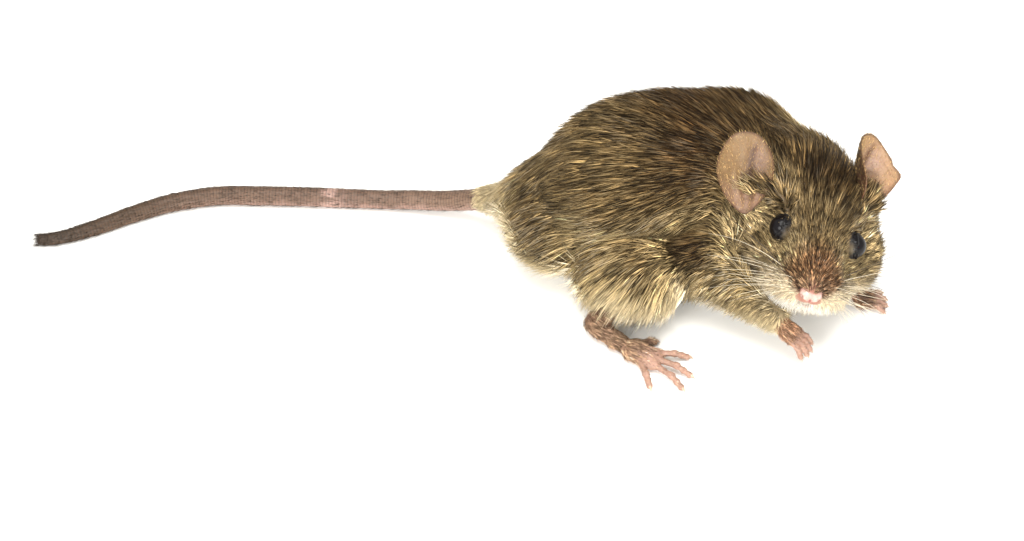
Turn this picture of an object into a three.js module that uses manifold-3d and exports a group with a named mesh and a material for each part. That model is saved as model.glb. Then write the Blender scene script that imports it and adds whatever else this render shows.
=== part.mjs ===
// A house mouse at life size, standing still: head raised and turned to its right, right forepaw
// lifted, tail laid out on the floor behind it. Millimetres, +Z up, floor at Z 0, origin under the
// middle of the model. The tail points to -X and the mouse looks to -Y. The outline is that of the
// coat, out to its tips.
//
// The furred body is one field of blended ellipsoids and tapered rods, turned into a mesh and parted
// into its named pieces by thin cuts. Ears, tail, feet and toes are swept or moulded sheets joined
// with booleans.
import * as THREE from "three";
import { mergeVertices } from "three/addons/utils/BufferGeometryUtils.js";
import Module from "manifold-3d";

const wasm = await Module();
wasm.setup();

// ---- Driving dimensions, mm ----
const GAP = 0.3; // between neighbouring pieces
const WELD = 0.03; // edges shorter than this are drawn together
const BODY_BLEND = 3.2; // how softly the trunk's masses run into each other
const LIMB_BLEND = 2.0;
const FACE_BLEND = 1.5;
const ORBIT_SOFTNESS = 1.2;
const TRUNK_CELL = 3.0; // mesh cell of the trunk and neck
const LIMB_CELL = 2.15;
const HEAD_CELL = 1.65;
const EYE_RADIUS = 1.75;
const EYE_FORWARD = 0.1; // in the head's frame
const EYE_ASIDE = 5.05;
const EYE_UP = 0.15;
const EAR_LENGTH = 11.2;
const EAR_WIDTH = 7.8;
const EAR_THICKNESS = 0.6;
const TOE_RADIUS = 0.56;
const CLAW_RADIUS = 0.3;
const CLAW_POINT = 0.12;
const CLAW_LENGTH = 1.2;
const CLAW_DIP = 0.12;
const FINGER_RADIUS = 0.49;
const FLOOR = 0;
const BELLY_CLEARANCE = 1.2;
const BELLY_SOFTNESS = 5;

const V = (x, y, z) => new THREE.Vector3(x, y, z);
const at = (frame, x, y, z) => V(x, y, z).applyMatrix4(frame);

// A frame from its origin and its heading, pitch (nose up) and roll (left side up), in degrees. +X is
// forward.
function frameAt(origin, heading, pitch, roll) {
  const rad = THREE.MathUtils.degToRad;
  const turn = new THREE.Euler(rad(roll), rad(-pitch), rad(heading), "ZYX");
  return new THREE.Matrix4().makeRotationFromEuler(turn).setPosition(origin);
}

const WORLD = new THREE.Matrix4();
const HEAD = frameAt(V(41.8, -7.6, 14.4), -95, 17, -12); // origin midway between the eyes

// ---- Fields: signed distances, negative inside ----
function ellipsoid(frame, centre, radii) {
  const inverse = frame.clone().invert();
  const p = V(0, 0, 0);
  return (q) => {
    p.copy(q).applyMatrix4(inverse).sub(centre);
    const near = Math.hypot(p.x / radii.x, p.y / radii.y, p.z / radii.z);
    const slope = Math.hypot(p.x / radii.x ** 2, p.y / radii.y ** 2, p.z / radii.z ** 2);
    return slope < 1e-9 ? -Math.min(radii.x, radii.y, radii.z) : (near * (near - 1)) / slope;
  };
}

// A rod from a to b whose radius goes evenly from ra to rb, with round ends.
function taperedRod(frame, a, b, ra, rb) {
  const start = a.clone().applyMatrix4(frame);
  const axis = b.clone().applyMatrix4(frame).sub(start);
  const length = axis.length();
  axis.normalize();
  const sine = (ra - rb) / length;
  const cosine = Math.sqrt(1 - sine * sine);
  const p = V(0, 0, 0);
  return (q) => {
    p.copy(q).sub(start);
    const along = p.dot(axis);
    const away = Math.sqrt(Math.max(0, p.lengthSq() - along * along));
    const foot = along - (away * sine) / cosine; // where the surface's normal meets the axis
    if (foot <= 0) return Math.hypot(along, away) - ra;
    if (foot >= length) return Math.hypot(along - length, away) - rb;
    return (away + along * (sine / cosine)) * cosine - ra;
  };
}

// The blend of a list of fields: where two are within `softness` of each other they run together.
function blend(fields, softness) {
  return (q) => {
    let d = Infinity;
    for (const field of fields) {
      const e = field(q);
      const h = Math.max(softness - Math.abs(d - e), 0) / softness;
      d = Math.min(d, e) - (Number.isFinite(h) ? (h * h * softness) / 4 : 0);
    }
    return d;
  };
}

// A field with others pressed into it.
function pressed(base, dents, softness) {
  return (q) => {
    let d = base(q);
    for (const dent of dents) {
      const e = -dent(q);
      const h = Math.max(softness - Math.abs(d - e), 0) / softness;
      d = Math.max(d, e) + (h * h * softness) / 4;
    }
    return d;
  };
}

const RIM = 1.01; // in cells: how far inside the meshing box a field is closed off
const mirrored = (make) => [make(1), make(-1)];

// ---- The furred body ----
const LEAN = 44; // the trunk leans this far, in degrees, back towards its left side
const trunkField = blend(
  [
    taperedRod(WORLD, V(-4.4, 9.4, 5.0), V(3.0, 6.8, 7.2), 1.9, 3.6), // root of the tail
    taperedRod(WORLD, V(3.5, 6.8, 7.6), V(16.0, 4.8, 12.8), 3.4, 11.7), // rump
    ellipsoid(WORLD, V(8.0, 3.4, 8.2), V(9.0, 10.2, 7.8)), // haunches
    ellipsoid(frameAt(V(23.0, 5.6, 12.4), 0, 0, LEAN), V(0, 0, 0), V(13.8, 13.0, 10.0)), // loin and ribs
    ellipsoid(frameAt(V(31.4, 8.8, 11.0), 0, 0, LEAN), V(0, 0, 0), V(10.8, 11.9, 9.0)), // shoulders
    taperedRod(WORLD, V(33.5, 7.6, 11.6), V(40.2, 3.8, 12.8), 8.4, 8.0), // neck
  ],
  BODY_BLEND,
);

const skullField = blend(
  [
    ellipsoid(HEAD, V(-7.0, 0, -0.2), V(8.4, 7.4, 6.6)), // braincase
    taperedRod(HEAD, V(-3, 0, -0.6), V(4.5, 0, -1.9), 5.3, 3.6), // brow and bridge
    taperedRod(HEAD, V(4.5, 0, -2.1), V(9.1, 0, -3.1), 3.6, 1.6), // muzzle
    ...mirrored((side) => ellipsoid(HEAD, V(5.8, side * 2.2, -4.1), V(3.1, 2.3, 2.3))), // whisker pads
    ...mirrored((side) => ellipsoid(HEAD, V(-4.4, side * 5.2, -3.4), V(6.2, 5.2, 5.6))), // cheeks
    taperedRod(HEAD, V(-6.4, -6.4, 1.8), V(-2.5, -7.3, 2.0), 3.0, 2.9), // root of the right ear
    ellipsoid(HEAD, V(-8.0, 6.0, 2.8), V(3.2, 2.8, 3.2)), // root of the left ear
    ellipsoid(HEAD, V(2.4, 0, -5.2), V(6.0, 6.6, 3.8)), // jaw
    ellipsoid(HEAD, V(-4.0, 0, -5.0), V(7.4, 8.6, 5.2)), // throat
  ],
  FACE_BLEND,
);

// The hollows that the eyes sit in, pressed softly into the sides of the face.
const orbits = mirrored((side) => ellipsoid(HEAD, V(0.2, side * 8.9, 0.3), V(3.4, 3.4, 3.4)));
const headField = pressed(skullField, orbits, ORBIT_SOFTNESS);

const ELBOW_RIGHT = V(25.8, -6.4, 8.6);
const limbMasses = {
  hind_leg_right: ellipsoid(frameAt(V(16.9, -8.0, 7.2), -10, 0, 0), V(0, 0, 0), V(8.4, 6.6, 6.6)),
  hind_leg_left: ellipsoid(frameAt(V(18.6, 15.6, 7.2), -10, 0, 0), V(0, 0, 0), V(8.4, 5.4, 6.6)),
  upper_arm_right: taperedRod(WORLD, V(31.4, 0.8, 10.6), ELBOW_RIGHT, 4.8, 4.4),
  foreleg_right: taperedRod(WORLD, ELBOW_RIGHT, V(36.2, -15.2, 6.4), 4.4, 1.9),
  foreleg_left: taperedRod(WORLD, V(40.0, 4.0, 9.0), V(47.6, -5.8, 3.6), 4.4, 1.6),
};

// The belly is pressed softly flat where it comes near the floor.
const wholeField = blend(
  [blend([trunkField, headField], BODY_BLEND), ...Object.values(limbMasses)],
  LIMB_BLEND,
);
const bodyField = pressed(wholeField, [(q) => q.z - BELLY_CLEARANCE], BELLY_SOFTNESS);

// ---- Meshing a field ----
// Surface nets: one vertex in each cell that the surface crosses, one quad for each grid edge that it
// crosses, then two steps along the field's slope put each vertex on the surface.
// The box from low to high closes the mesh where the field runs out of it.
function meshField(openField, low, high, cell) {
  const outside = (v, a, b) => Math.max(a - v, v - b);
  const boxed = ({ x, y, z }) =>
    Math.max(outside(x, low.x, high.x), outside(y, low.y, high.y), outside(z, low.z, high.z)) + cell * RIM;
  const field = (q) => Math.max(openField(q), boxed(q));
  const count = [0, 1, 2].map((k) => Math.ceil((high.getComponent(k) - low.getComponent(k)) / cell) + 1);
  const [nx, ny, nz] = count;
  const index = (i, j, k) => (k * ny + j) * nx + i;
  const corner = (i, j, k) => V(low.x + i * cell, low.y + j * cell, low.z + k * cell);
  const values = new Float64Array(nx * ny * nz);
  for (let k = 0; k < nz; k++)
    for (let j = 0; j < ny; j++)
      for (let i = 0; i < nx; i++) values[index(i, j, k)] = field(corner(i, j, k));

  const vertexOf = new Map();
  const positions = [];
  for (let k = 0; k < nz - 1; k++)
    for (let j = 0; j < ny - 1; j++)
      for (let i = 0; i < nx - 1; i++) {
        const sum = V(0, 0, 0);
        let crossings = 0;
        for (let axis = 0; axis < 3; axis++)
          for (let a = 0; a < 2; a++)
            for (let b = 0; b < 2; b++) {
              const s = [i, j, k];
              s[(axis + 1) % 3] += a;
              s[(axis + 2) % 3] += b;
              const e = [...s];
              e[axis] += 1;
              const vs = values[index(...s)];
              const ve = values[index(...e)];
              if (vs < 0 === ve < 0) continue;
              sum.add(corner(...s).lerp(corner(...e), vs / (vs - ve)));
              crossings++;
            }
        if (!crossings) continue;
        vertexOf.set(index(i, j, k), positions.length);
        positions.push(sum.divideScalar(crossings));
      }

  const step = cell * 0.05;
  for (const p of positions)
    for (let round = 0; round < 2; round++) {
      const here = field(p);
      const slope = V(
        field(V(p.x + step, p.y, p.z)) - here,
        field(V(p.x, p.y + step, p.z)) - here,
        field(V(p.x, p.y, p.z + step)) - here,
      ).divideScalar(step);
      const steepness = Math.max(slope.lengthSq(), 0.25);
      p.addScaledVector(slope, -Math.sign(here) * Math.min(Math.abs(here) / steepness, cell * 0.4));
    }

  const triangles = [];
  for (let k = 1; k < nz - 1; k++)
    for (let j = 1; j < ny - 1; j++)
      for (let i = 1; i < nx - 1; i++)
        for (let axis = 0; axis < 3; axis++) {
          const e = [i, j, k];
          e[axis] += 1;
          const inside = values[index(i, j, k)] < 0;
          if (inside === values[index(...e)] < 0) continue;
          const u = (axis + 1) % 3;
          const v = (axis + 2) % 3;
          const quad = [[0, 0], [1, 0], [1, 1], [0, 1]].map(([a, b]) => {
            const c = [i, j, k];
            c[u] -= a;
            c[v] -= b;
            return vertexOf.get(index(...c));
          });
          if (!inside) quad.reverse();
          triangles.push(quad[0], quad[1], quad[2], quad[0], quad[2], quad[3]);
        }
  return solid(positions, triangles);
}

// ---- Solids and booleans ----
function solid(positions, triangles) {
  const mesh = new wasm.Mesh({
    numProp: 3,
    vertProperties: new Float32Array(positions.flatMap((p) => [p.x, p.y, p.z])),
    triVerts: new Uint32Array(triangles),
  });
  return new wasm.Manifold(mesh);
}

// The triangles with their faces turned outwards, told by the sign of the volume that they enclose.
function facingOut(positions, triangles) {
  let volume = 0;
  for (let i = 0; i < triangles.length; i += 3) {
    const [a, b, c] = triangles.slice(i, i + 3).map((k) => positions[k]);
    volume += a.dot(b.clone().cross(c));
  }
  return volume < 0 ? triangles.reverse() : triangles;
}

function solidOf(geometry, matrix = WORLD) {
  const bare = geometry.clone().applyMatrix4(matrix);
  bare.deleteAttribute("normal");
  bare.deleteAttribute("uv");
  const merged = mergeVertices(bare, 1e-4);
  return new wasm.Manifold(
    new wasm.Mesh({
      numProp: 3,
      vertProperties: merged.attributes.position.array,
      triVerts: new Uint32Array(merged.index.array),
    }),
  );
}

const union = (solids) => solids.reduce((a, b) => a.add(b));

// Groups of joined items: find(i) gives the group's own item, join(i, j) makes two groups one.
function groupsOf(count) {
  const parent = Int32Array.from({ length: count }, (_, i) => i);
  const find = (i) => {
    while (parent[i] !== i) {
      parent[i] = parent[parent[i]];
      i = parent[i];
    }
    return i;
  };
  return { find, join: (i, j) => (parent[find(i)] = find(j)) };
}

// The triangles left when each edge shorter than WELD is drawn together to a point. An edge is left
// alone where that would fold the surface onto itself: its two ends must share just the two corners
// across from it.
function withoutSlivers(points, triangles) {
  const around = Array.from({ length: points.length }, () => new Set()); // triangles at each point
  triangles.forEach((triangle, t) => triangle.forEach((i) => around[i].add(t)));
  const neighbours = (i) => new Set([...around[i]].flatMap((t) => triangles[t]));
  for (const triangle of triangles)
    for (let k = 0; k < 3; k++) {
      const [from, to] = [triangle[k], triangle[(k + 1) % 3]];
      if (from === to || points[from].distanceTo(points[to]) > WELD) continue;
      const shared = neighbours(from).intersection(neighbours(to));
      if (shared.size !== 4) continue; // the two ends themselves and the two corners
      for (const t of around[from]) {
        triangles[t].splice(triangles[t].indexOf(from), 1, to);
        if (new Set(triangles[t]).size === 3) around[to].add(t);
        else triangles[t].forEach((i) => around[i].delete(t));
      }
      around[from].clear();
    }
  return triangles.filter((triangle) => new Set(triangle).size === 3);
}

// The largest body among the triangles; the crumbs that a cut leaves are dropped.
function largestBody(count, triangles) {
  const groups = groupsOf(count);
  for (const [a, b, c] of triangles) {
    groups.join(a, b);
    groups.join(b, c);
  }
  const bodies = Map.groupBy(triangles, ([a]) => groups.find(a));
  return [...bodies.values()].sort((a, b) => b.length - a.length)[0];
}

function geometryOf(made) {
  const { vertProperties, triVerts, numProp, numVert } = made.getMesh();
  const pointAt = (i) => V(0, 0, 0).fromArray(vertProperties, i * numProp);
  const points = Array.from({ length: numVert }, (_, i) => pointAt(i));
  const triangleAt = (t) => [...triVerts.slice(3 * t, 3 * t + 3)];
  const every = Array.from({ length: triVerts.length / 3 }, (_, t) => triangleAt(t));
  const kept = largestBody(numVert, withoutSlivers(points, every));
  const geometry = new THREE.BufferGeometry().setFromPoints(kept.flat().map((i) => points[i]));
  return mergeVertices(geometry);
}

// An ellipsoid used as a cutter, `grow` larger all round.
function eggCutter(frame, centre, radii, grow = 0) {
  const place = frame.clone().multiply(
    new THREE.Matrix4().compose(centre, new THREE.Quaternion(), radii.clone().addScalar(grow)),
  );
  return solidOf(new THREE.SphereGeometry(1, 14, 10), place);
}

// Everything on the far side of the plane through `point`, facing `direction`.
function halfSpace(point, direction) {
  const REACH = 200;
  const turn = new THREE.Quaternion().setFromUnitVectors(V(0, 0, 1), direction.clone().normalize());
  const place = new THREE.Matrix4().compose(point, turn, V(1, 1, 1));
  const box = new THREE.BoxGeometry(REACH, REACH, REACH).translate(0, 0, REACH / 2);
  return solidOf(box, place);
}

// Everything on the near side of that plane, GAP short of it.
function behind(point, direction) {
  const away = direction.clone().normalize().negate();
  return halfSpace(point.clone().addScaledVector(away, GAP), away);
}

const FLOOR_CUT = halfSpace(V(0, 0, FLOOR), V(0, 0, -1));
const onFloor = (made) => made.subtract(FLOOR_CUT);

// ---- Swept rods: toes, feet and tail ----
// A smooth run of values through `list`, for t from 0 to 1.
function between(list, t) {
  const curve = new THREE.CatmullRomCurve3(list.map((value, i) => V(i, value, 0)));
  return curve.getPoint(t).y;
}

// A rod along a smooth line through `points`. `radii` are half its width along the way and `height` its
// height over its width; both ends are round.
function sweep(points, radii, { sides = 8, steps = 6, height = 1, capRings = 2 } = {}) {
  const line = new THREE.CatmullRomCurve3(points, false, "centripetal");
  const rings = [];
  for (let i = -capRings; i <= steps + capRings; i++) {
    const t = THREE.MathUtils.clamp(i / steps, 0, 1);
    const past = i < 0 ? i / (capRings + 0.5) : i > steps ? (i - steps) / (capRings + 0.5) : 0;
    const ahead = line.getTangent(t);
    const aside = V(0, 0, 1).cross(ahead).normalize();
    const up = ahead.clone().cross(aside);
    const radius = between(radii, t);
    const angle = (past * Math.PI) / 2;
    const centre = line.getPoint(t).addScaledVector(ahead, radius * height * Math.sin(angle));
    const width = radius * Math.cos(angle);
    rings.push({ centre, aside, up, width, rise: width * height });
  }
  const ends = [0, 1].map((t) => {
    const sign = t ? 1 : -1;
    return line.getPoint(t).addScaledVector(line.getTangent(t), sign * between(radii, t) * height);
  });
  const positions = rings.flatMap(({ centre, aside, up, width, rise }) =>
    Array.from({ length: sides }, (_, j) => {
      const a = (2 * Math.PI * j) / sides;
      const out = aside.clone().multiplyScalar(width * Math.cos(a));
      return out.addScaledVector(up, rise * Math.sin(a)).add(centre);
    }),
  );
  const first = positions.push(ends[0]) - 1;
  const last = positions.push(ends[1]) - 1;
  const top = (rings.length - 1) * sides;
  const triangles = [];
  for (let j = 0; j < sides; j++) {
    const n = (j + 1) % sides;
    for (let i = 0; i < top; i += sides)
      triangles.push(i + j, i + n, i + sides + n, i + j, i + sides + n, i + sides + j);
    triangles.push(first, n, j, last, top + j, top + n);
  }
  return solid(positions, facingOut(positions, triangles));
}

// ---- Feet ----
// A digit from its knuckle over its bend to its tip, running on into a claw that dips a little.
function digit(knuckle, bend, tip, radius) {
  const way = tip.clone().sub(bend).normalize();
  const root = tip.clone().addScaledVector(way, radius * 0.7);
  const point = tip.clone().addScaledVector(way, CLAW_LENGTH).add(V(0, 0, -CLAW_DIP));
  const radii = [radius, radius, radius * 0.88, CLAW_RADIUS, CLAW_POINT];
  return sweep([knuckle, bend, tip, root, point], radii, { sides: 6, steps: 5, capRings: 0 });
}

// A hind foot flat on the floor. Its frame has its origin by the heel on the floor and +X along the
// foot; side is 1 where the inner toe is on the left.
function hindFoot(frame, side) {
  const p = (x, y, z) => at(frame, x, side * y, z);
  const heel = [p(-0.2, 0.5, 2.4), p(0.9, 0.5, 1.75)];
  const soleLine = [...heel, p(3.4, -0.2, 1.4), p(6.4, -0.5, 1.25), p(9.6, -0.6, 1.05)];
  const sole = sweep(soleLine, [1.75, 1.75, 1.4, 1.6, 1.95], { sides: 8, steps: 6, height: 0.82 });
  const shankLine = [p(0.1, 0.5, 2.5), p(1.1, 1.5, 4.8), p(3.4, 3.8, 6.9)];
  const shank = sweep(shankLine, [1.7, 1.9, 2.1], { sides: 7, steps: 3, capRings: 1 });
  const toes = [
    digit(p(6.4, 0.8, 1.1), p(7.4, 1.9, 1.1), p(8.0, 2.9, 0.66), TOE_RADIUS),
    digit(p(9.6, 0.7, 1.15), p(11.7, 1.8, 1.25), p(13.2, 2.7, 0.62), TOE_RADIUS),
    digit(p(10.2, -0.3, 1.15), p(13.0, -0.05, 1.25), p(15.0, -0.1, 0.62), TOE_RADIUS),
    digit(p(10.2, -1.3, 1.1), p(13.2, -2.0, 1.2), p(15.1, -2.7, 0.62), TOE_RADIUS),
    digit(p(8.3, -1.9, 1.1), p(10.0, -3.4, 1.05), p(11.2, -4.6, 0.62), TOE_RADIUS),
  ];
  return onFloor(union([sole, shank, ...toes]));
}

// A forepaw: wrist, small palm and four fingers. reach is the length of the fingers, spread how far they
// fan out and droop how far their tips hang below the palm. The frame's origin is the middle of the
// palm, +X towards the fingers.
function forepaw(frame, { reach, spread, droop, wrist }) {
  const p = (x, y, z) => at(frame, x, y, z);
  const palmLine = [wrist, wrist.clone().lerp(p(-1.2, 0, 0.2), 0.6), p(-0.6, 0, 0), p(1.0, 0, -0.1)];
  const palm = sweep(palmLine, [1.05, 1.0, 1.4, 1.3], { sides: 8, steps: 4, height: 0.8 });
  const fingers = [-1.5, -0.5, 0.5, 1.5].map((k) => {
    const length = reach - 0.45 * Math.abs(k);
    const fan = k * spread;
    return digit(
      p(0.5, k * 0.7, -0.1),
      p(0.9 + length * 0.5, k * 0.78 + fan * 0.4, 0.1 - droop * 0.3),
      p(0.8 + length, k * 0.82 + fan, -droop),
      FINGER_RADIUS,
    );
  });
  return onFloor(union([palm, ...fingers]));
}

// ---- Ears ----
// An ear is a thin cupped leaf: its outline is an egg, narrow where it is rooted, and each point of the
// leaf is pushed along the ear's facing by how far it lies from the middle line. Frame: +Z up the ear,
// +X the way that it faces.
function ear(frame, { cup, curl }) {
  const SECTORS = 18;
  const RINGS = 4;
  const leaf = (share, angle, push) => {
    const up = Math.sin(angle);
    const across = Math.cos(angle);
    const narrowing = 1 - 0.34 * Math.max(0, -up) ** 1.5;
    const y = share * across * (EAR_WIDTH / 2) * narrowing;
    const z = EAR_LENGTH / 2 + (share * up * EAR_LENGTH) / 2;
    const edge = (2 * y) / EAR_WIDTH;
    const height = z / EAR_LENGTH;
    const x = cup * edge * edge * (1.25 - height) + curl * (height - 0.5) ** 2 - 0.8 * (1 - share);
    const thin = EAR_THICKNESS * (1 - 0.25 * share);
    return at(frame, x + push * thin, y, z);
  };
  const positions = [];
  const triangles = [];
  const sheet = (push) => {
    const first = positions.length;
    positions.push(leaf(0, 0, push));
    for (let r = 1; r <= RINGS; r++)
      for (let s = 0; s < SECTORS; s++) positions.push(leaf(r / RINGS, (2 * Math.PI * s) / SECTORS, push));
    return first;
  };
  const front = sheet(0.5);
  const back = sheet(-0.5);
  const ring = (first, r, s) => first + 1 + (r - 1) * SECTORS + (s % SECTORS);
  const quad = (a, b, c, d) => triangles.push(a, b, c, a, c, d);
  for (let s = 0; s < SECTORS; s++) {
    const t = s + 1;
    triangles.push(front, ring(front, 1, s), ring(front, 1, t));
    triangles.push(back, ring(back, 1, t), ring(back, 1, s));
    for (let r = 1; r < RINGS; r++) {
      quad(ring(front, r, s), ring(front, r + 1, s), ring(front, r + 1, t), ring(front, r, t));
      quad(ring(back, r, t), ring(back, r + 1, t), ring(back, r + 1, s), ring(back, r, s));
    }
    quad(ring(front, RINGS, s), ring(back, RINGS, s), ring(back, RINGS, t), ring(front, RINGS, t));
  }
  return solid(positions, facingOut(positions, triangles));
}

// ---- Where the cuts lie ----
const HEAD_EGG = [HEAD, V(-0.4, 0, -0.6), V(14.2, 13.4, 12.0)];
const TAIL_ROOT = V(-3.9, 9.6, 4.9);
const TAIL_WAY = V(-1, 0.3, -0.35);
const HIND_EGGS = {
  hind_leg_right: [frameAt(V(16.6, -9.8, 6.9), -10, 8, 0), V(0, 0, 0), V(10.4, 6.8, 8.0)],
  hind_leg_left: [frameAt(V(18.4, 17.2, 6.9), -10, 8, 0), V(0, 0, 0), V(10.4, 6.0, 8.0)],
};
const FORE_EGGS = {
  foreleg_right: [frameAt(V(32.0, -11.6, 7.6), -45, -22, 0), V(0, 0, 0), V(9.0, 4.6, 5.0)],
  foreleg_left: [frameAt(V(44.6, -1.4, 4.9), -52, -24, 0), V(0, 0, 0), V(8.6, 3.9, 3.7)],
};
const NECK_POINT = V(33.5, 2.2, 14.3);
const NECK_WAY = V(1, -0.25, 0);

// ---- Building the pieces ----
const BODY_LOW = V(-8, -26, -1.5);
const BODY_HIGH = V(58, 24, 33);
const trunkMesh = onFloor(meshField(bodyField, BODY_LOW, BODY_HIGH, TRUNK_CELL));
const limbMesh = onFloor(meshField(bodyField, BODY_LOW, BODY_HIGH, LIMB_CELL));
const headMesh = onFloor(meshField(bodyField, V(24, -24, 0), V(58, 10, 32), HEAD_CELL));
const grownBody = meshField((q) => bodyField(q) - GAP, BODY_LOW, BODY_HIGH, LIMB_CELL);
const grownHead = meshField((q) => bodyField(q) - GAP, V(24, -24, 0), V(58, 10, 32), HEAD_CELL);

const limbEggs = { ...HIND_EGGS, ...FORE_EGGS };
const eggsOut = (eggs) => union(Object.values(eggs).map(([f, c, r]) => eggCutter(f, c, r, GAP)));
const limbsOut = eggsOut(limbEggs);
const forelegsOut = eggsOut(FORE_EGGS);
const headEgg = eggCutter(...HEAD_EGG);
const headOut = eggCutter(...HEAD_EGG, GAP);
const beyondNeck = halfSpace(NECK_POINT, NECK_WAY);
const beforeNeck = behind(NECK_POINT, NECK_WAY);

const eyeAt = (side) => at(HEAD, EYE_FORWARD, side * EYE_ASIDE, EYE_UP);
const eyeBall = (side, grow) => {
  const ball = new THREE.SphereGeometry(EYE_RADIUS + grow, 12, 8);
  return solidOf(ball, new THREE.Matrix4().setPosition(eyeAt(side)));
};

// Each ear stands at its own angle: facing and tip are directions in the head's frame, root a point in it.
function earFrame(root, facing, tip) {
  const ahead = facing.clone().transformDirection(HEAD);
  const aside = tip.clone().transformDirection(HEAD).cross(ahead).normalize();
  const up = ahead.clone().cross(aside);
  return new THREE.Matrix4().makeBasis(ahead, aside, up).setPosition(at(HEAD, ...root));
}

const EAR_PLACES = {
  right: earFrame([-1.6, -10.3, 0.1], V(0.86, -0.22, 0.46), V(-0.5, -0.22, 0.84)),
  left: earFrame([-8.7, 5.4, 0.9], V(0.58, 0.75, 0.32), V(-0.26, -0.02, 0.94)),
};
const EARS = {
  right: ear(EAR_PLACES.right, { cup: 1.8, curl: 1.0 }),
  left: ear(EAR_PLACES.left, { cup: 4.4, curl: 1.0 }),
};

const TAIL_LINE = [
  V(-0.5, 8.2, 6.2), V(-3.2, 9.5, 5.0), V(-6.8, 10.7, 3.6), V(-10.5, 11.7, 2.5), V(-14.9, 12.6, 1.8),
  V(-19.3, 13.1, 1.38), V(-28.8, 13.6, 1.38), V(-36.9, 13.9, 1.35), V(-43.5, 13.9, 1.28),
  V(-49.9, 12.5, 1.2), V(-55.5, 10.1, 1.1), V(-60.4, 7.6, 1.0), V(-65.2, 5.7, 0.9), V(-68.6, 5.3, 0.82),
];
const TAIL_RADII = [1.7, 1.5, 1.4, 1.45, 1.45, 1.35, 1.2, 0.85];
const TAIL_CUTS = [-26, -49]; // X of the thin cuts between its three lengths

const wholeTail = onFloor(sweep(TAIL_LINE, TAIL_RADII, { sides: 8, steps: 24 }));
const tailBeyond = halfSpace(TAIL_ROOT, TAIL_WAY);
const bodySide = behind(TAIL_ROOT, TAIL_WAY);
const past = (x) => halfSpace(V(x - GAP / 2, 0, 0), V(-1, 0, 0));
const short = (x) => halfSpace(V(x + GAP / 2, 0, 0), V(1, 0, 0));

const hindFeet = {
  right: hindFoot(frameAt(V(11.4, -12.8, 0), -30, 0, 0), 1),
  left: hindFoot(frameAt(V(16.0, 16.6, 0), 6, 0, 0), -1),
};
const forepaws = {
  right: forepaw(frameAt(V(38.1, -17.1, 5.4), -30, -22, 0), {
    reach: 2.9,
    spread: 0.22,
    droop: 0.9,
    wrist: V(36.0, -15.0, 6.3),
  }),
  left: forepaw(frameAt(V(49.9, -6.6, 1.05), 0, -4, 0), {
    reach: 2.1,
    spread: 0.35,
    droop: 0.4,
    wrist: V(46.4, -4.6, 4.4),
  }),
};

const coat = (tone) => new THREE.MeshStandardMaterial({ color: tone, roughness: 0.85, metalness: 0 });
const wetEye = () => new THREE.MeshStandardMaterial({ color: 0x08070a, roughness: 0.08, metalness: 0 });
const COAT = 0x6b5838;
const PALE_COAT = 0x9a8460;
const BARE_SKIN = 0xc09378;
const TAIL_SKIN = 0x84695a;

const pieces = {
  trunk: [
    trunkMesh.intersect(beforeNeck).intersect(bodySide).subtract(limbsOut).subtract(headOut),
    coat(COAT),
  ],
  neck: [trunkMesh.intersect(beyondNeck).subtract(limbsOut).subtract(headOut), coat(COAT)],
  head: [
    headMesh.intersect(headEgg).subtract(limbsOut).subtract(eyeBall(1, GAP)).subtract(eyeBall(-1, GAP)),
    coat(COAT),
  ],
  eye_right: [eyeBall(-1, 0), wetEye()],
  eye_left: [eyeBall(1, 0), wetEye()],
  ear_right: [EARS.right.subtract(grownHead), coat(BARE_SKIN)],
  ear_left: [EARS.left.subtract(grownHead), coat(BARE_SKIN)],
  tail_base: [wholeTail.intersect(tailBeyond).intersect(short(TAIL_CUTS[0])), coat(TAIL_SKIN)],
  tail_middle: [wholeTail.intersect(past(TAIL_CUTS[0])).intersect(short(TAIL_CUTS[1])), coat(TAIL_SKIN)],
  tail_tip: [wholeTail.intersect(past(TAIL_CUTS[1])), coat(TAIL_SKIN)],
};
for (const [name, egg] of Object.entries(FORE_EGGS))
  pieces[name] = [limbMesh.intersect(eggCutter(...egg)), coat(PALE_COAT)];
for (const [name, egg] of Object.entries(HIND_EGGS))
  pieces[name] = [limbMesh.intersect(eggCutter(...egg)).subtract(forelegsOut), coat(PALE_COAT)];
for (const side of ["right", "left"]) {
  pieces[`hind_foot_${side}`] = [hindFeet[side].subtract(grownBody), coat(BARE_SKIN)];
  pieces[`forepaw_${side}`] = [forepaws[side].subtract(grownBody).subtract(grownHead), coat(BARE_SKIN)];
}

const mouse = new THREE.Group();
mouse.name = "house_mouse";
for (const [name, [made, material]] of Object.entries(pieces)) {
  const mesh = new THREE.Mesh(geometryOf(made), material);
  mesh.name = name;
  mouse.add(mesh);
}

// The origin goes under the middle of the model's box.
const box = new THREE.Box3().setFromObject(mouse);
mouse.position.set(-(box.min.x + box.max.x) / 2, -(box.min.y + box.max.y) / 2, -box.min.z);

export default mouse;
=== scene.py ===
"""A house mouse at life size: one skin, a coat of solid tufts, eyes, claws, whiskers and tail bristles.

Shapes are worked out in millimetres in the body's own layout (+X from rump to shoulders, +Z up, floor at
Z 0), and each finished mesh is moved to the frame and turned into metres. Feet, ears, head and eyes have
frames of their own in that layout.
"""

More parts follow.
